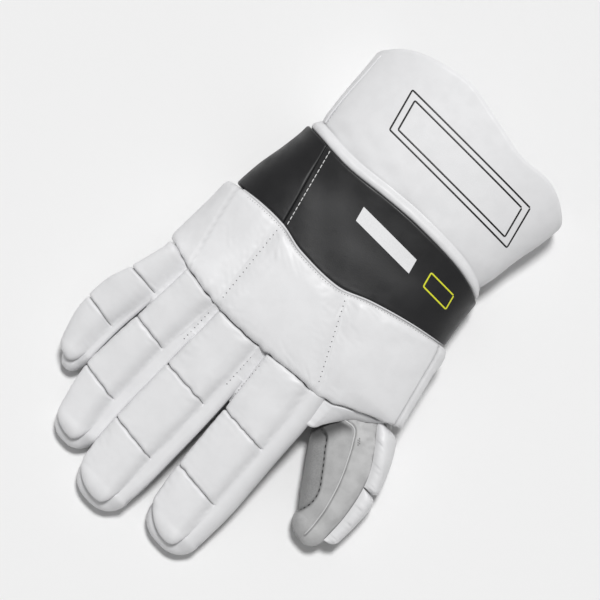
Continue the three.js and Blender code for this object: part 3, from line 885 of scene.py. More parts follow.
def rgba(colour, share=1.0):
    """A colour with alpha, at a share of its brightness."""
    return (*(channel * share for channel in tuple(colour)[:3]), 1.0)


def leather(name, colour, dark, roughness, grain=1.0):
    """Smooth coated leather: fine grain, faint mottling, and painted shade in its seams and grooves."""
    finish = Finish(name, roughness, specular=0.42)
    place = finish.place()
    mottle = finish.noise(place, 9, 4)
    fine = finish.noise(place, 0.5, 2)
    cells = finish.cells(place, 0.75 * grain)
    # The crease attribute holds painted shade: the colour is mixed toward the dark shade colour there.
    crease = finish.attribute("crease")
    base = finish.mix(finish.range(mottle, 0.35, 0.7), rgba(colour), rgba(colour, 0.965))
    seam_shaded = finish.mix(crease, base, rgba(dark))
    height = finish.range(cells, 0.0, 0.22) * 0.7 + fine * 0.3
    normal = finish.bump(height, 0.035, 0.55)
    shine = finish.range(mottle, 0.3, 0.7, roughness - 0.05, roughness + 0.07)
    return finish.done(seam_shaded, normal, shine)


# The brightness of the inner, middle and outer strip against the suede's colour: partly the strips' own tones
# and partly painted shade, the inner strip darker as it faces away from the light.
STRIP_TONES = (28 / 45, 1.0, 54 / 45)


def suede(name, colour, dark):
    """Napped suede in three strips, whose tones follow the strip that the mesh carries."""
    finish = Finish(name, 0.95, specular=0.15, sheen=0.25)
    place = finish.place()
    nap = finish.noise(place, 0.9, 6)
    cloud = finish.noise(place, 7, 4)
    strip = finish.attribute("strip")
    inner, middle, outer = (rgba(colour, share) for share in STRIP_TONES)
    tone = finish.mix(finish.range(strip, 0.45, 0.55), inner, middle)
    tone = finish.mix(finish.range(strip, 1.45, 1.55), tone, outer)
    worn = finish.mix(finish.range(cloud, 0.35, 0.7, 0.0, 0.22), tone, rgba(dark))
    napped = finish.mix(finish.range(nap, 0.3, 0.75, 0.0, 0.2), worn, outer)
    # Painted shade: where the crease attribute is set, the suede is darkened toward its dark colour.
    seam_shaded = finish.mix(finish.attribute("crease"), napped, rgba(dark, 0.3))
    return finish.done(seam_shaded, finish.bump(nap, 0.16, 0.7))


def thread(name, colour):
    """Twisted sewing thread."""
    finish = Finish(name, 0.7, sheen=0.2)
    inputs = {"Vector": finish.place(), "Scale": 0.9, "Distortion": 1.5}
    twist = finish.node("ShaderNodeTexWave", {"bands_direction": "DIAGONAL"}, inputs)
    tone = finish.mix(twist, rgba(colour), rgba(colour, 0.86))
    return finish.done(tone, finish.bump(twist, 0.06, 0.8))


def vinyl(name, colour):
    """Thin printed vinyl that shows a little of the leather's grain."""
    finish = Finish(name, 0.4, specular=0.4)
    place = finish.place()
    fine = finish.noise(place, 0.7, 3)
    tone = finish.mix(finish.range(fine, 0.3, 0.7), rgba(colour), rgba(colour, 0.93))
    return finish.done(tone, finish.bump(fine, 0.03, 0.5))


def paper(name, colour):
    """The plain pale floor."""
    finish = Finish(name, 0.95, specular=0.0)
    fine = finish.noise(finish.place(), 40, 2)
    tone = finish.mix(fine, rgba(colour), rgba(colour, 0.998))
    return finish.done(tone, finish.bump(fine, 0.01, 0.05))


# Sizes and colours that a user would change


class GloveSizes(bpy.types.PropertyGroup):
    """The heights of the glove's padding and the fineness of its meshes."""

    finger_pad: bpy.props.FloatProperty(
        name="Finger pads", description="Height of the finger pads", default=0.008, unit="LENGTH"
    )
    knuckle_pad: bpy.props.FloatProperty(
        name="Knuckle pads", description="Height of the knuckle pads", default=0.010, unit="LENGTH"
    )
    thumb_pad: bpy.props.FloatProperty(
        name="Thumb pads", description="Height of the pads on the thumb", default=0.0065, unit="LENGTH"
    )
    wrist_pad: bpy.props.FloatProperty(
        name="Wrist band", description="Height of the black band", default=0.0055, unit="LENGTH"
    )
    pitch: bpy.props.FloatProperty(
        name="Mesh pitch", description="Spacing of the points of the pads", default=0.0009, unit="LENGTH"
    )


class GloveColours(bpy.types.PropertyGroup):
    """The colours of the glove's leathers and threads."""

    white: bpy.props.FloatVectorProperty(
        name="White", description="White leather of the pads", default=(0.80, 0.80, 0.81), subtype="COLOR"
    )
    # The colour of the painted shade in the seams and grooves of the white leather.
    shade: bpy.props.FloatVectorProperty(
        name="Seam shade", description="White leather in a seam", default=(0.05, 0.05, 0.05), subtype="COLOR"
    )
    black: bpy.props.FloatVectorProperty(
        name="Black", description="Leather of the wrist band", default=(0.016, 0.016, 0.017), subtype="COLOR"
    )
    suede: bpy.props.FloatVectorProperty(
        name="Suede", description="Suede of the palm and thumb", default=(0.45, 0.45, 0.45), subtype="COLOR"
    )
    yellow: bpy.props.FloatVectorProperty(
        name="Yellow", description="Outlined marks on the band", default=(0.78, 0.80, 0.04), subtype="COLOR"
    )


def sizes():
    """The sizes in the scene, in mm."""
    group = bpy.context.scene.glove_sizes
    names = ("finger_pad", "knuckle_pad", "thumb_pad", "wrist_pad", "pitch")
    return {name: getattr(group, name) / MM for name in names}


def colour(name):
    """One of the scene's colours."""
    return getattr(bpy.context.scene.glove_colours, name)


FINISHES = {
    "white": lambda: leather("white_leather", colour("white"), colour("shade"), 0.46),
    "soft": lambda: leather("soft_white_leather", colour("white"), colour("shade"), 0.5, grain=0.85),
    "black": lambda: leather("black_leather", colour("black"), (0.0, 0.0, 0.0), 0.42),
    # The side panel's darker black is painted shade for a panel that tilts away from the light.
    "black_side": lambda: leather("black_leather_side", (0.011, 0.011, 0.012), (0.0, 0.0, 0.0), 0.46),
    "suede": lambda: suede("grey_suede", colour("suede"), (0.2, 0.2, 0.2)),
    "white_thread": lambda: thread("white_thread", (0.85, 0.85, 0.84)),
    "dark_thread": lambda: thread("dark_thread", (0.015, 0.015, 0.015)),
    "grey_thread": lambda: thread("grey_thread", (0.2, 0.2, 0.2)),
    # Dark beads for the needle holes and the cuff's stitch holes: painted shade inside the holes.
    "hole": lambda: thread("needle_hole", (0.16, 0.16, 0.16)),
    "pale_suede": lambda: leather("pale_suede_piping", (0.62, 0.62, 0.62), (0.2, 0.2, 0.2), 0.8),
    "black_vinyl": lambda: vinyl("black_vinyl", (0.008, 0.008, 0.008)),
    "white_vinyl": lambda: vinyl("white_vinyl", (0.85, 0.85, 0.86)),
    "yellow_vinyl": lambda: vinyl("yellow_vinyl", colour("yellow")),
}


def finish_of(name):
    """A finish by name, made once."""
    made = FINISHES[name]
    if callable(made):
        FINISHES[name] = made = made()
    return made


# Cuff


def cuff_grid(along, across, out):
    """A grid of points round the cuff, which ends at its curved mouth."""
    nominal = lerp(CUFF_START, CUFF_SIDE_END, along)
    angles = np.array([even_angles(body_skin, y, -90, 270, across, 0) for y in nominal])
    point = body_skin(np.broadcast_to(nominal[:, None], angles.shape), angles, out)
    upper = ease(point[..., 2], 4, 36)
    end = lerp(CUFF_SIDE_END, edge_y(CUFF_MOUTH)(point[..., 0]), upper)
    point[..., 1] = lerp(CUFF_START, end, along[:, None])
    return point


CUFF_SIDES = 320
CUFF_ROWS = 64
CUFF_CROWD = 0.5
MOUTH_FROM = 0.965
MOUTH_ROUND = 0.7
WRIST_REACH = 0.16
FOLD = 0.4
FOLD_SIZE = 26
FOLD_STRETCH = (1, 2.2, 1)
CUFF_DENT = 0.25
CUFF_DENT_SIZE = 60
ROLL_WIDTH = 7.2
ROLL_HEIGHT = 3.4
SIDE_SEAM_ANGLE = 18
SIDE_SEAM_ENDS = (-84.5, -136)
SIDE_STITCH_SHIFT = (-1.3, 0, 0.9)


def cuff_shape(along, points):
    """The cuff's soft folds at the wrist and its wide dents."""
    wrist = np.exp(-along / WRIST_REACH)[:, None]
    z = points[..., 2]
    folds = FOLD * wrist * ripple(points * FOLD_STRETCH, FOLD_SIZE, 11) * ease(z, 10, 40)
    return (folds + CUFF_DENT * ripple(points, CUFF_DENT_SIZE, 12)) * ease(z, 3, 20)


def make_cuff():
    """The open cuff, a tube of leather with a rounded mouth."""
    along = crowd(CUFF_ROWS, CUFF_CROWD)
    across = np.arange(CUFF_SIDES) / CUFF_SIDES
    shape = cuff_shape(along, cuff_grid(along, across, 0))
    mouth = MOUTH_ROUND * ease(along, MOUTH_FROM, 1)[:, None] ** 2
    outer = cuff_grid(along, across, shape - mouth)
    inner = cuff_grid(along, across, mouth - CUFF_LEATHER + shape)
    count = len(along) * CUFF_SIDES
    faces = grid_faces(len(along), CUFF_SIDES, closed=True)
    faces += grid_faces(len(along), CUFF_SIDES, count, closed=True, flip=True)
    for row in (0, len(along) - 1):
        ring = row * CUFF_SIDES + np.arange(CUFF_SIDES)
        after = np.roll(ring, -1)
        faces += np.stack([ring, after, after + count, ring + count], -1).tolist()
    points = np.concatenate([outer.reshape(-1, 3), inner.reshape(-1, 3)])
    make_mesh("cuff", points, faces, finish_of("white"), nodes=["cuff"], painted_shade=np.zeros(len(points)))


def roll_pleats(points):
    """The fine pleats in the middle of the roll."""
    x = points[..., 0]
    return 0.25 * np.sin(x * 2.3) * bell(x - 12, 11)


def make_roll():
    """The soft rolled edge between the cuff and the wrist band."""
    pad(
        "cuff_roll", finish_of("white"), body_skin, edge_y(BAND_REAR, -ROLL_WIDTH), edge_y(BAND_REAR, -0.15),
        always(SIDE_ANGLE), always(THUMB_SIDE_ANGLE), ROLL_HEIGHT,
        [Border(0.1, 4.2, soft=True), Border(0.6, 1.8, 0.3), Border(0.3, 2), Border(0.3, 2)], 21,
        form=roll_pleats, nodes=["cuff_roll"],
    )


def make_cuff_seam():
    """The seam down the cuff's side, and its stitches."""
    y = np.linspace(*SIDE_SEAM_ENDS, 90)
    path, over = (body_skin(y, np.full(y.shape, SIDE_SEAM_ANGLE), out) for out in (0.2, 1.2))
    cord("cuff_side_seam", path, over - path, 1.5, 1.1, "white")
    beside_it = path + SIDE_STITCH_SHIFT
    points, faces = stitches(beside_it, over - path, length=0.6, gap=1.6, width=0.5, height=0.3)
    make_mesh("cuff_side_stitches", points, faces, finish_of("hole"))


# Wrist band

BAND_PUCKER = 0.04
PIPING_SHARE = 0.7


def make_band():
    """The black band in two panels, with its white stitches and the piping along its front."""
    height = sizes()["wrist_pad"]
    edge, seam, end = Border(0.8, 1.6, 0.3), Border(0.86, 1.2, 0.5), Border(0.6, 2.5)
    right, left = always(SIDE_ANGLE), always(THUMB_SIDE_ANGLE)
    panels = {
        "wrist_pad_side": ("black_side", right, body_line(BAND_SEAM, height, 0.1), end, seam),
        "wrist_pad_main": ("black", body_line(BAND_SEAM, height, -0.1), left, seam, end),
    }
    made = []
    for seed, (name, (finish, right, left, *ends)) in enumerate(panels.items(), 31):
        made.append(pad(
            name, finish_of(finish), body_skin, edge_y(BAND_REAR), edge_y(BAND_FRONT, -0.6), right, left,
            height, [edge, edge, *ends], seed, pucker=BAND_PUCKER, nodes=[name], slot="black_leather",
        ))
    plan = along_line(BAND_SEAM, (0.02, 0.99), -0.9)
    sew("band_stitches", made, plan, "white_thread", length=2.7, gap=0.5, width=0.55, lift=0.08)
    lift = PAD_GAP + height * PIPING_SHARE
    path = on_skin(body_skin, resample(along_edge(BAND_FRONT, -79, 70, 160), 1.0), lift)
    cord("band_piping", path, normals_of(body_skin, path, lift), 1.5, 1.8, "white")


# Knuckles


def fold_rise(points):
    """The folded gusset on the little finger's side: a crisp edge that slopes away outside."""
    distance = points[..., 0] - line_x(OUTER_FOLD)(points[..., 1])
    return 1.5 * np.exp(np.minimum(distance, 0) / 0.5) - 0.12 * np.maximum(distance, 0)


def fold_shade(points):
    """The shade just inside the folded gusset."""
    distance = points[..., 0] - line_x(OUTER_FOLD)(points[..., 1])
    return 0.2 * bell(distance + 0.9, 0.7)


def to_welt(points):
    """How far places are from the seam of the welt, and negative on the welt."""
    return points[..., 0] - line_x(WELT_SEAM)(points[..., 1])


def welt_rise(points):
    """The welt's groove, and the welt a little lower than the panel."""
    distance = to_welt(points)
    return -1.3 * bell(distance, 0.9) - 0.5 * (1 - ease(distance, -0.6, 0.6))


def welt_shade(points):
    """The shade in the welt's groove."""
    return 0.4 * bell(to_welt(points), 0.6)


def knuckle_line(shift=0.0):
    """The crease between the knuckles and the fingers."""
    return wavy(edge_y(KNUCKLE_FRONT, shift), 0.28, 40)


WELT_HEIGHT = 5.5


def make_knuckles():
    """The three padded panels over the knuckles, and the welt on the thumb's side."""
    height = sizes()["knuckle_pad"]
    rear, front = edge_y(BAND_FRONT, 0.7), knuckle_line()
    outer, inner, welt = (
        lambda shift, line=line: body_line(line, height, shift)
        for line in (OUTER_CHANNEL, THUMB_CHANNEL, WELT_SEAM)
    )
    behind, ahead, channel = Border(0.7, 5), Border(0.6, 4.5, 0.35), Border(0.76, 9, soft=True)
    rim, groove = Border(0.3, 6), Border(0.4, 4, 0.4)
    panels = {
        "knuckle_pad_outer": (always(SIDE_ANGLE), outer(0.02), rim, channel, fold_rise, fold_shade),
        "knuckle_pad_centre": (outer(-0.02), inner(0.02), channel, channel, flat, flat),
        "knuckle_pad_thumb": (inner(-0.02), welt(0.3), channel, groove, welt_rise, welt_shade),
    }
    made = []
    for seed, (name, (right, left, right_border, left_border, form, mark)) in enumerate(panels.items(), 41):
        made.append(pad(
            name, finish_of("white"), body_skin, rear, front, right, left, height,
            [behind, ahead, right_border, left_border], seed, form=form, mark=mark, puff=PUFF, nodes=[name],
        ))
    plain = Border(0.3, 3)
    pad(
        "knuckle_welt", finish_of("white"), body_skin, rear, front, welt(-0.3), always(THUMB_SIDE_ANGLE + 4),
        WELT_HEIGHT, [plain, plain, Border(0.5, 3, 0.4), plain], 45, nodes=["knuckle_welt"],
    )
    for name, line in (("outer", OUTER_CHANNEL), ("inner", THUMB_CHANNEL)):
        sew(f"knuckle_holes_{name}", made, along_line(line, (0.06, 0.93)), "hole", gap=2.4, **HOLE)
    plan = along_edge(BAND_FRONT, -70, 66, 150, 2.0)
    sew("band_holes", made, plan, "hole", length=0.5, gap=1.5, width=0.5, height=0.2)


# Hand


def shell(name, skin, finish, along, across, rear, front, right, left, wall, rise, **extra):
    """A wall of leather under the pads, lifted straight up by rise where its points are on top."""
    y, angle = patch(skin, always(rear), always(front), right, left, along, across, 0)
    outer, inner = skin(y, angle, 0), skin(y, angle, -wall)
    top = ease(90 - np.abs(angle - 90), 0, 12)
    outer[..., 2] += rise(outer) * top + 0.1 * ripple(outer, 14, 52)
    return slab(name, outer, inner, finish, painted_shade=np.zeros(y.shape), **extra)


def seam_angles(skin, height):
    """The angles of the side seams at a height along y."""
    right = lambda y: angle_at_height(skin, y, height(y), -90)
    left = lambda y: angle_at_height(skin, y, height(y), 270)
    return right, left


# Rows and columns of the points of each plain wall.
WALLS = {"hand_back": (100, 150), "palm": (90, 120), "finger_under": (50, 30), "index_side": (60, 60)}
BODY_END = FINGER_START - 0.3
UNDER_START = FINGER_START - 3
# How far the suede under each finger laps over the white leather of its tip, and how far it stands out.
TIP_LAP = 1.4
TIP_LIFT = 0.12


def wall_shares(name):
    """The even shares of a wall's length and width at which its points lie."""
    return [np.linspace(0, 1, count) for count in WALLS[name]]


def make_back():
    """The soft white leather over the back of the hand."""
    right, left = seam_angles(body_skin, always(SIDE_SEAM))
    shell(
        "hand_back", body_skin, finish_of("soft"), *wall_shares("hand_back"), BODY_START, BODY_END,
        right, left, LEATHER, rise=flat, nodes=["hand_back"], slot="soft_white_leather",
    )


def under_sheet(name, skin, rear, front, height, out):
    """The points and faces of a closed sheet round the underside of a skin, up to its side seams."""
    right, left = seam_angles(skin, height)
    turned = lambda y: left(y) - 360
    y, angle = patch(skin, always(rear), always(front), turned, right, *wall_shares(name), 0)
    outer, inner = skin(y, angle, out), skin(y, angle, -LEATHER)
    return np.concatenate([outer.reshape(-1, 3), inner.reshape(-1, 3)]), slab_faces(*y.shape)


def make_palm():
    """The suede palm with the undersides of the fingers."""
    sheets = [under_sheet("palm", body_skin, BODY_START, BODY_END, always(SIDE_SEAM), 0)]
    for stall in stalls.values():
        height = lambda y: column_at(stall.rows, "bottom", y) + UNDER_HEIGHT
        end = stall.shoulder + TIP_LAP
        sheets.append(under_sheet("finger_under", stall.skin, UNDER_START, end, height, TIP_LIFT))
    points, faces = gather(sheets)
    palm = make_mesh("palm", points, faces, finish_of("suede"), nodes=["palm"], slot="grey_suede")
    carry(palm.data, "strip", np.ones(len(points)))


WEB_SIDE = -50
WEB_ANGLE = 168
WEB_HEIGHT = 6.5


def web_gathers(points):
    """The gathers of the web beside the thumb."""
    x, y = points[..., 0], points[..., 1]
    return 0.5 * np.sin(x / 3.1 + y / 9) * ease(-x, 52, 60)


def make_web():
    """The soft white gusset between the index finger and the thumb."""
    pad(
        "thumb_web", finish_of("soft"), body_skin, knuckle_line(0.5), edge_y(WEB_FRONT),
        beside(body_skin, always(WEB_SIDE), 2.6), always(WEB_ANGLE), WEB_HEIGHT,
        [Border(0.6, 2), Border(0.45, 2.5), Border(0.5, 6, soft=True), Border(0.4, 4)], 51,
        form=web_gathers, nodes=["thumb_web"], slot="soft_white_leather",
    )


# The fingers on both sides of each strip, its ends, and its sag.
CHANNELS = {
    "little_ring": ("little", "ring", (33, 67), 0.5),
    "ring_middle": ("ring", "middle", (35, 73), 0.7),
    "middle_index": ("middle", "index", (35, 72), 0.1),
}
HOLE_ROWS = {
    "ring": ((32.8, 43), (32.2, 67)),
    "middle": ((-3.3, 44), (-4.6, 67)),
    "index": ((-10.5, 44), (-12.2, 67)),
}
CHANNEL_ROWS = 110
CHANNEL_COLUMNS = 36
CHANNEL_DEPTH = 2.5
CHANNEL_LAP = 0.04
CHANNEL_CLOSE = 9
CHANNEL_DROP = 4
PAD_LEFT_SHARE, PAD_RIGHT_SHARE = 0.42, 0.3


def pad_edge(stall, column, y, share):
    """Points on the upper edge of a finger's pads."""
    out = PAD_GAP + share * sizes()["finger_pad"]
    return stall.skin(y, angle_over(stall.skin, y, column_at(stall.rows, column, y), out), out)


def make_channel(name):
    """The soft strip between the base pads of two fingers."""
    first, second, (start, end), sag = CHANNELS[name]
    y = np.linspace(start, end, CHANNEL_ROWS)
    near = pad_edge(stalls[first], "pad_left", y, PAD_LEFT_SHARE)
    far = pad_edge(stalls[second], "pad_right", y, PAD_RIGHT_SHARE)
    t = np.linspace(-CHANNEL_LAP, 1 + CHANNEL_LAP, CHANNEL_COLUMNS)[None, :, None]
    over = lerp(near[:, None], far[:, None], t)
    closing = ease(over[..., 1], end - CHANNEL_CLOSE, end)
    sunk = sag * np.sin(np.pi * np.clip(t[..., 0], 0, 1)) * (1 - closing)
    over[..., 2] -= sunk + CHANNEL_DROP * closing**2
    over[..., 2] += 0.1 * ripple(over, 6, 81)
    under = over - (0, 0, CHANNEL_DEPTH)
    slab(
        f"channel_{name}", over, under, finish_of("soft"), painted_shade=flat(over), slot="soft_white_leather",
    )


INDEX_SIDE_START = 31
INDEX_SIDE_ANGLE = 174


def make_index_side():
    """The index finger's side strip, carried on from the finger to the knuckles."""
    stall = stalls["index"]
    edge = lambda y: angle_over(stall.skin, y, column_at(stall.rows, "pad_left", y) + 2.5, 0)
    shell(
        "index_side", stall.skin, finish_of("soft"), *wall_shares("index_side"),
        INDEX_SIDE_START, FINGER_START + 0.2, edge, always(INDEX_SIDE_ANGLE), LEATHER,
        rise=lambda p: strip_rise(stall, STRIP_ROUND["index"], p), slot="soft_white_leather",
    )


def make_holes():
    """The rows of needle holes beside the base pads."""
    covers = [
        piece for piece in bpy.data.objects if piece.name.startswith(("channel_", "finger_", "knuckle_pad"))
        or piece.name.endswith("_pad_base_cover")
    ]
    for name, plan in HOLE_ROWS.items():
        sew(f"holes_{name}", covers, plan, "hole", gap=2.3, **HOLE)


# Fingers

DOME_ROWS = 26


def stall_shares(stall, start, count):
    """Shares of a stall's length from start to tip, closer together over its dome."""
    straight = np.linspace(start, stall.shoulder, count)[:-1]
    dome = stall.shoulder + (stall.tip[1] - stall.shoulder) * np.sin(np.linspace(0, np.pi / 2, DOME_ROWS))
    return (np.concatenate([straight, dome]) - start) / (stall.tip[1] - start)


SEAM_GAP = 0.1
TIP_CORNER = 6.0
STRIP_SLOPE = 0.1
STRIP_ROUND = {"little": 2.2, "ring": 2.2, "middle": 5.0, "index": 9.0}


def strip_rise(stall, rounding, points):
    """How far a finger's leather stands up beside its pads, on the thumb's side."""
    y = np.minimum(points[..., 1], stall.shoulder)
    places = np.linspace(stall.rows["y"][0], stall.shoulder, 60)
    edges = pad_edge(stall, "pad_left", places, PAD_LEFT_SHARE)
    edge, side = (column_at(stall.rows, column, y) for column in ("pad_left", "left"))
    away = edge - points[..., 0]
    turn = np.clip(1 - (edge - side - away) / rounding, 0, 1)
    level = np.interp(y, places, edges[:, 2]) - 0.3 - STRIP_SLOPE * np.maximum(away, 0)
    rise = level - rounding * (1 - np.sqrt(1 - turn**2)) - points[..., 2]
    end = stall.tip[1] - RIM
    return np.maximum(rise, 0) * ease(away, -2.5, -0.3) * (1 - ease(points[..., 1], end - 9, end))


def turned_corner(distance, radius):
    """How far a rounded corner falls back at a distance from its side."""
    short = np.clip(1 - distance / radius, 0, 0.98)
    return radius * (1 - np.sqrt(1 - short**2))


def make_finger(name, seed):
    """One finger: its leather, and three pads sewn down by two cross seams."""
    stall, finger = stalls[name], FINGERS[name]
    thick = sizes()["finger_pad"]
    height = lambda y: column_at(stall.rows, "bottom", np.minimum(y, stall.shoulder)) + UNDER_HEIGHT
    side_right, side_left = seam_angles(stall.skin, height)
    at = lambda y: np.minimum(y, stall.shoulder)
    closing = lambda y: ease(y, stall.shoulder - 5, stall.shoulder + 1)
    right = lambda y: lerp(side_right(at(y)), -90, closing(y))
    left = lambda y: lerp(side_left(at(y)), 270, closing(y))
    along = stall_shares(stall, FINGER_START, 64)
    shell(
        f"finger_{name}", stall.skin, finish_of("soft"), along, np.linspace(0, 1, 120), FINGER_START,
        stall.tip[1], right, left, LEATHER, rise=lambda p: strip_rise(stall, STRIP_ROUND[name], p),
        nodes=[f"finger_{name}"], slot="soft_white_leather", merge=True,
    )
    plan_edge = lambda column: lambda y: angle_over(
        stall.skin, at(y), column_at(stall.rows, column, at(y)), edge_height(thick)
    )
    seams = [wavy(line_y(seam), 0.22, seed + k) for k, seam in enumerate(finger["seams"])]
    corner = column_at(stall.rows, "pad_left", stall.shoulder)
    tip_edge = lambda x: (
        stall.tip[1] - RIM - TIP_SAG * (x - stall.tip[0]) ** 2 - turned_corner(x - corner, TIP_CORNER)
    )
    spans = {
        "base": (knuckle_line(0.5), lambda x: seams[0](x) - SEAM_GAP),
        "middle": (lambda x: seams[0](x) + SEAM_GAP, lambda x: seams[1](x) - SEAM_GAP),
        "tip": (lambda x: seams[1](x) + SEAM_GAP, tip_edge),
    }
    right_border = Border(0.15, 7) if name == "little" else Border(PAD_RIGHT_SHARE, 5)
    for offset, (part, (rear, front)) in enumerate(spans.items()):
        cross = Border(0.7, 1.9, 0.22)
        far = Border(0.12, 7, 0.2) if part == "tip" else cross
        pad(
            f"{name}_pad_{part}", finish_of("white"), stall.skin, rear, front,
            always(WRAP_ANGLE) if name == "little" else plan_edge("pad_right"), plan_edge("pad_left"),
            thick, [cross, far, right_border, Border(PAD_LEFT_SHARE, 8, soft=True)],
            seed + 5 * offset, fade=3.0, puff=PUFF, nodes=[f"{name}_pad_{part}"],
        )


# Thumb

STRIP_SEAM = [(-60, 45), (-68, 46), (-73, 52), (-81, 62), (-88, 72), (-90, 80), (-88, 90)]
STRIP_PIPING = [
    (-68, 32), (-76.5, 31), (-82, 38), (-87, 47), (-93, 60), (-98, 76.5), (-100, 88), (-100.5, 97),
]


def smooth_path(points, step=0.5):
    """A smooth path through plan points."""
    points = np.asarray(points, float)
    keys = run_along(points)
    rows = {"t": keys, "x": points[:, 0], "y": points[:, 1]}
    places = np.linspace(0, keys[-1], int(keys[-1] / step))
    return np.stack([column_at(rows, column, places, key="t") for column in ("x", "y")], -1)


def beyond(points, path):
    """How far plan points are beyond a path towards the thumb's back, and negative before it."""
    plan = points.reshape(-1, 3)[:, :2]
    steps = plan[:, None] - path[None]
    nearest = np.argmin((steps**2).sum(-1), axis=1)
    ahead = np.gradient(path, axis=0)[nearest]
    step = plan - path[nearest]
    side = np.sign(ahead[:, 0] * step[:, 1] - ahead[:, 1] * step[:, 0])
    return (side * np.linalg.norm(step, axis=1)).reshape(points.shape[:-1])


def inside_seam(points):
    """How far places on the thumb's white back are from its inner edge."""
    places = np.linspace(10, thumb.shoulder, 60)
    angle = angle_over(thumb.skin, places, column_at(THUMB_ROWS, "seam", places), 0)
    seam = thumb.skin(places, angle, PAD_GAP + sizes()["thumb_pad"])
    x, z = (np.interp(points[..., 1], seam[:, 1], seam[:, axis]) for axis in (0, 2))
    return np.hypot(x - points[..., 0], z - points[..., 2])


def gathers(points):
    """The rhythm of the thumb's gathered leather."""
    y = points[..., 1]
    return np.sin(y * 2.1 + 1.6 * np.sin(y * 0.37)) * (0.6 + 0.4 * np.sin(y * 0.53))


def thumb_puckers(points):
    """The puckers along the inner edge of the thumb's white back."""
    return 0.3 * gathers(points) * bell(inside_seam(points), 4.2)


def pucker_shade(points):
    """The shade in the puckers."""
    deep = np.maximum(-gathers(points), 0) ** 3
    return 0.3 * deep * bell(inside_seam(points) - 2, 1.6)


THUMB_START = 4
THUMB_LINES = 120, 200
THUMB_TOP = 12
THUMB_TURN = 178
# A distance that is beyond the reach of every seam.
FAR = 9
TACKS = [[(-82.5, 32.5), (-86.5, 36.5)], [(-82.5, 33.8), (-86.5, 37.8)]]


def make_stall():
    """The suede thumb in three strips, with its groove, stitches and piping."""
    rows, columns = THUMB_LINES
    along, across = stall_shares(thumb, THUMB_START, rows), np.linspace(0, 1, columns)
    ends = always(THUMB_START), always(THUMB_TIP[1])
    y, angle = patch(thumb.skin, *ends, always(-90), always(270), along, across, 0)
    outer = thumb.skin(y, angle, 0)
    seam, piping = smooth_path(STRIP_SEAM), smooth_path(STRIP_PIPING)
    web = smooth_path(np.stack([WEB_FRONT["x"], WEB_FRONT["y"]], -1))
    to_seam, to_piping, to_web = (beyond(outer, path) for path in (seam, piping, web))
    top = (outer[..., 2] > THUMB_TOP) & (angle < THUMB_TURN)
    near_seam, beside_piping = np.where(top, np.abs(to_seam), FAR), np.where(top, to_piping, FAR)
    lift = -0.6 * bell(near_seam, 0.9) - 0.3 * bell(beside_piping, 1.2)
    root = 1 - ease(outer[..., 1], 24, 44)
    lift = lift + 0.3 * ripple(outer, 18, 61) + 0.6 * root * ripple(outer * (1, 2, 1), 8, 62)
    over = thumb.skin(y, angle, lift * ease(outer[..., 2], 2, 8))
    # Painted shadow under the web's front edge, and painted shade along the seam's groove and beside the
    # piping.
    web_shadow = 0.9 * (1 - ease(np.abs(to_web), 4, 13)) * (1 - ease(to_piping, -2.5, 0)) * top
    painted_shade = 0.6 * bell(near_seam, 0.8) + 0.6 * bell(beside_piping - 0.8, 0.5)
    piece = slab(
        "thumb_stall", over, thumb.skin(y, angle, -LEATHER), finish_of("suede"),
        painted_shade=np.clip(painted_shade + web_shadow, 0, 1), nodes=["thumb_stall"], slot="grey_suede",
    )
    # The strip each point lies on picks its suede tone; the darker inner strip is partly painted shade.
    strip = np.where(to_piping > 0, 2.0, np.where(to_seam > 0, 1.0, 0.0))
    carry(piece.data, "strip", np.stack([strip, strip]))
    sew("thumb_stitches", [piece], seam, "dark_thread", length=2.4, gap=1.4, width=0.7, slot="grey_suede")
    for i, tack in enumerate(TACKS):
        sew(f"thumb_tack_{i}", [piece], tack, "grey_thread", length=1.1, gap=0.3, slot="grey_suede")
    path, away = drop([piece], piping)
    cord("thumb_piping", path + 0.25 * away, away, 0.9, 0.9, "pale_suede", slot="grey_suede")


THUMB_BACK_START = 17
NOTCH_HALF = 0.3
THUMB_CHAMFER = 0.75


def make_thumb_back():
    """The thumb's white padded back in two segments."""
    inner = lambda y: angle_over(thumb.skin, y, column_at(THUMB_ROWS, "seam", y), 0)
    seam_side = lambda y: inner(np.minimum(y, thumb.shoulder))
    tip_front = lambda x: THUMB_TIP[1] - 4 - THUMB_CHAMFER * np.maximum(-104 - x, 0)
    spans = {
        "thumb_pad_base": (always(THUMB_BACK_START), always(THUMB_NOTCH - NOTCH_HALF)),
        "thumb_pad_tip": (always(THUMB_NOTCH + NOTCH_HALF), tip_front),
    }
    cross = Border(0.2, 4, 0.3)
    for seed, (name, (rear, front)) in enumerate(spans.items(), 71):
        pad(
            name, finish_of("white"), thumb.skin, rear, front, seam_side, always(THUMB_UNDER_ANGLE),
            sizes()["thumb_pad"], [cross, cross, Border(0.02, 5), Border(0.2, 5)], seed,
            form=thumb_puckers, mark=pucker_shade, puff=PUFF, nodes=[name],
        )


# Marks

# Each mark has its middle in plan, then half its width and half its height.
SLANT = 0.27
BAND_BAR = (-11, -60.7, 22, 4.5)
BAND_FRAME = (-54, -61.4, 9.5, 4.5)
CUFF_FRAMES = [(-12, -121, 49, 13), (-12, -121, 44.5, 9.5)]
BAND_LINE = 0.9
CUFF_LINE = 1.1
BAR_ROWS, BAR_COLUMNS = 12, 56
MARK_LIFT = 0.1


def slanted(x, y, half_width, half_height):
    """The corners of a slanted bar in plan."""
    ends = [(-1, -1), (1, -1), (1, 1), (-1, 1)]
    return [(x + a * half_width - SLANT * b * half_height, y + b * half_height) for a, b in ends]


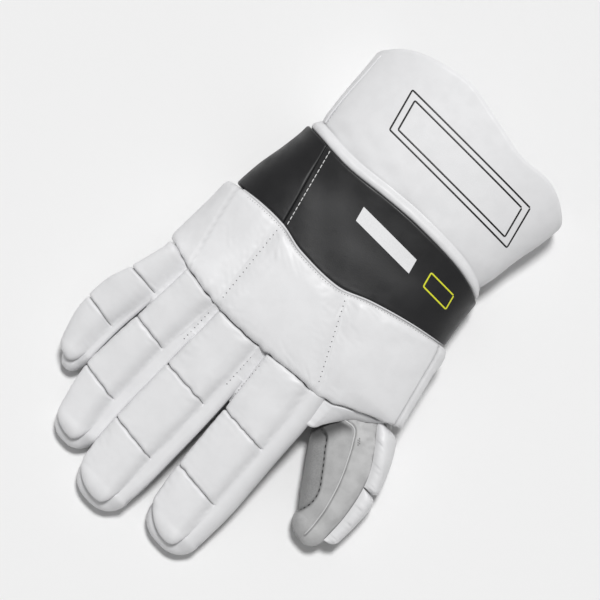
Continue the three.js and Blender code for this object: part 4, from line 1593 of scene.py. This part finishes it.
def filled(name, cover, corner, finish, slot):
    """A thin solid bar on a cover, from its four corners in plan."""
    a, b, c, d = (np.array(point) for point in corner)
    t, u = np.meshgrid(np.linspace(0, 1, BAR_ROWS), np.linspace(0, 1, BAR_COLUMNS), indexing="ij")
    t, u = t[..., None], u[..., None]
    plan = lerp(lerp(a, b, u), lerp(d, c, u), t)
    points, normals = lay([cover], plan.reshape(-1, 2))
    points = np.concatenate([points + MARK_LIFT * normals, points - MARK_LIFT * normals])
    make_mesh(name, points, slab_faces(BAR_ROWS, BAR_COLUMNS), finish_of(finish), slot=slot)


def outlined(name, cover, shapes, finish, slot, width):
    """Thin outlines on a cover, each from its corners in plan."""
    parts = []
    for corner in shapes:
        path, away = drop([cover], [*corner, corner[0]], step=0.5)
        parts.append(bead(path, away, width, 3 * MARK_LIFT, sides=6))
    make_mesh(name, *gather(parts), finish_of(finish), slot=slot)


def make_marks():
    """Plain bars and outlines where the real glove has its print."""
    band, cuff = (bpy.data.objects[f"{name}_cover"] for name in ("wrist_pad_main", "cuff"))
    filled("band_bar", band, slanted(*BAND_BAR), "white_vinyl", "black_leather")
    outlined("band_frame", band, [slanted(*BAND_FRAME)], "yellow_vinyl", "black_leather", BAND_LINE)
    shapes = [slanted(*values) for values in CUFF_FRAMES]
    outlined("cuff_frames", cuff, shapes, "black_vinyl", "white_leather", CUFF_LINE)


# Stage

CAMERA_HEIGHT = 3.0
PICTURE_WIDTH = 0.36
SENSOR = 36.0
CAMERA_TURN = -135
LIGHT_FROM = (0.389, -0.883)
LIGHT_ELEVATION = 71
LIGHT_WIDTH = 9
SKY = 0.26
SUN = 2.45
FLOOR = (0.865, 0.865, 0.865)
FLOOR_HALF = 6
FLOOR_GAP = 0.0002


def make_stage():
    """The pale floor, the soft light and the camera."""
    scene = bpy.context.scene
    mesh = bpy.data.meshes.new("floor")
    corner = [(a * FLOOR_HALF, b * FLOOR_HALF, 0) for a, b in ((-1, -1), (1, -1), (1, 1), (-1, 1))]
    mesh.from_pydata(corner, [], [(0, 1, 2, 3)])
    mesh.materials.append(paper("pale_floor", FLOOR))
    floor = bpy.data.objects.new("floor", mesh)
    floor.location.z = -FLOOR_GAP
    scene.collection.objects.link(floor)
    scene.world = bpy.data.worlds.new("studio")
    scene.world.use_nodes = True
    background = scene.world.node_tree.nodes["Background"]
    background.inputs["Color"].default_value = (1, 1, 1, 1)
    background.inputs["Strength"].default_value = SKY
    lamp = bpy.data.lights.new("key", "SUN")
    lamp.energy = SUN
    lamp.angle = math.radians(LIGHT_WIDTH)
    key = bpy.data.objects.new("key", lamp)
    level, up = math.cos(math.radians(LIGHT_ELEVATION)), math.sin(math.radians(LIGHT_ELEVATION))
    towards = Vector((LIGHT_FROM[0] * level, LIGHT_FROM[1] * level, up))
    key.rotation_euler = towards.to_track_quat("Z", "Y").to_euler()
    scene.collection.objects.link(key)
    lens = bpy.data.cameras.new("camera")
    lens.sensor_width = SENSOR
    lens.lens = SENSOR * CAMERA_HEIGHT / PICTURE_WIDTH
    camera = bpy.data.objects.new("camera", lens)
    camera.location = (SHIFT[0] * MM, SHIFT[1] * MM, CAMERA_HEIGHT)
    camera.rotation_euler = (0, 0, math.radians(CAMERA_TURN))
    scene.collection.objects.link(camera)
    scene.camera = camera
    scene.view_settings.view_transform = "Standard"
    scene.view_settings.look = "None"


# Operators


class GLOVE_OT_stage(bpy.types.Operator):
    """Sets up the floor, the light and the camera"""

    bl_idname = "glove.stage"
    bl_label = "Stage"

    def execute(self, context):
        make_stage()
        return {"FINISHED"}


class GLOVE_OT_cuff(bpy.types.Operator):
    """Builds the open cuff and its rolled edge"""

    bl_idname = "glove.cuff"
    bl_label = "Cuff"

    def execute(self, context):
        make_cuff()
        make_roll()
        make_cuff_seam()
        return {"FINISHED"}


class GLOVE_OT_band(bpy.types.Operator):
    """Builds the black wrist band with its stitches and piping"""

    bl_idname = "glove.band"
    bl_label = "Wrist band"

    def execute(self, context):
        make_band()
        return {"FINISHED"}


class GLOVE_OT_knuckles(bpy.types.Operator):
    """Builds the knuckle pads and the welt"""

    bl_idname = "glove.knuckles"
    bl_label = "Knuckles"

    def execute(self, context):
        make_knuckles()
        return {"FINISHED"}


class GLOVE_OT_hand(bpy.types.Operator):
    """Builds the back of the hand, the palm and the web"""

    bl_idname = "glove.hand"
    bl_label = "Hand"

    def execute(self, context):
        make_back()
        make_palm()
        make_web()
        return {"FINISHED"}


class GLOVE_OT_fingers(bpy.types.Operator):
    """Builds the four fingers and their pads"""

    bl_idname = "glove.fingers"
    bl_label = "Fingers"

    def execute(self, context):
        for seed, name in enumerate(FINGERS):
            make_finger(name, 100 + 20 * seed)
        for name in CHANNELS:
            make_channel(name)
        make_index_side()
        make_holes()
        return {"FINISHED"}


class GLOVE_OT_thumb(bpy.types.Operator):
    """Builds the suede thumb and its padded back"""

    bl_idname = "glove.thumb"
    bl_label = "Thumb"

    def execute(self, context):
        make_stall()
        make_thumb_back()
        return {"FINISHED"}


class GLOVE_OT_marks(bpy.types.Operator):
    """Lays the plain marks on the band and the cuff"""

    bl_idname = "glove.marks"
    bl_label = "Marks"

    def execute(self, context):
        make_marks()
        return {"FINISHED"}


OPERATORS = (
    GLOVE_OT_stage,
    GLOVE_OT_cuff,
    GLOVE_OT_band,
    GLOVE_OT_knuckles,
    GLOVE_OT_hand,
    GLOVE_OT_fingers,
    GLOVE_OT_thumb,
    GLOVE_OT_marks,
)


class GLOVE_PT_panel(bpy.types.Panel):
    """Lists the glove's sizes, colours and pieces in the sidebar"""

    bl_idname = "GLOVE_PT_panel"
    bl_label = "Bandy glove"
    bl_space_type = "VIEW_3D"
    bl_region_type = "UI"
    bl_category = "Glove"

    def draw(self, context):
        for group in (context.scene.glove_sizes, context.scene.glove_colours):
            for name in group.__annotations__:
                self.layout.prop(group, name)
        for operator in OPERATORS:
            self.layout.operator(operator.bl_idname)


CLASSES = (GloveSizes, GloveColours, *OPERATORS, GLOVE_PT_panel)


def register():
    """Registers the classes and hangs their settings on the scene."""
    for item in CLASSES:
        bpy.utils.register_class(item)
    bpy.types.Scene.glove_sizes = bpy.props.PointerProperty(type=GloveSizes)
    bpy.types.Scene.glove_colours = bpy.props.PointerProperty(type=GloveColours)


def unregister():
    """Removes what register added."""
    del bpy.types.Scene.glove_colours
    del bpy.types.Scene.glove_sizes
    for item in reversed(CLASSES):
        bpy.utils.unregister_class(item)


def main():
    """Builds the glove."""
    register()
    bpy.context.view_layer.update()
    for operator in OPERATORS:
        group, name = operator.bl_idname.split(".")
        getattr(getattr(bpy.ops, group), name)()


if __name__ == "__main__":
    main()
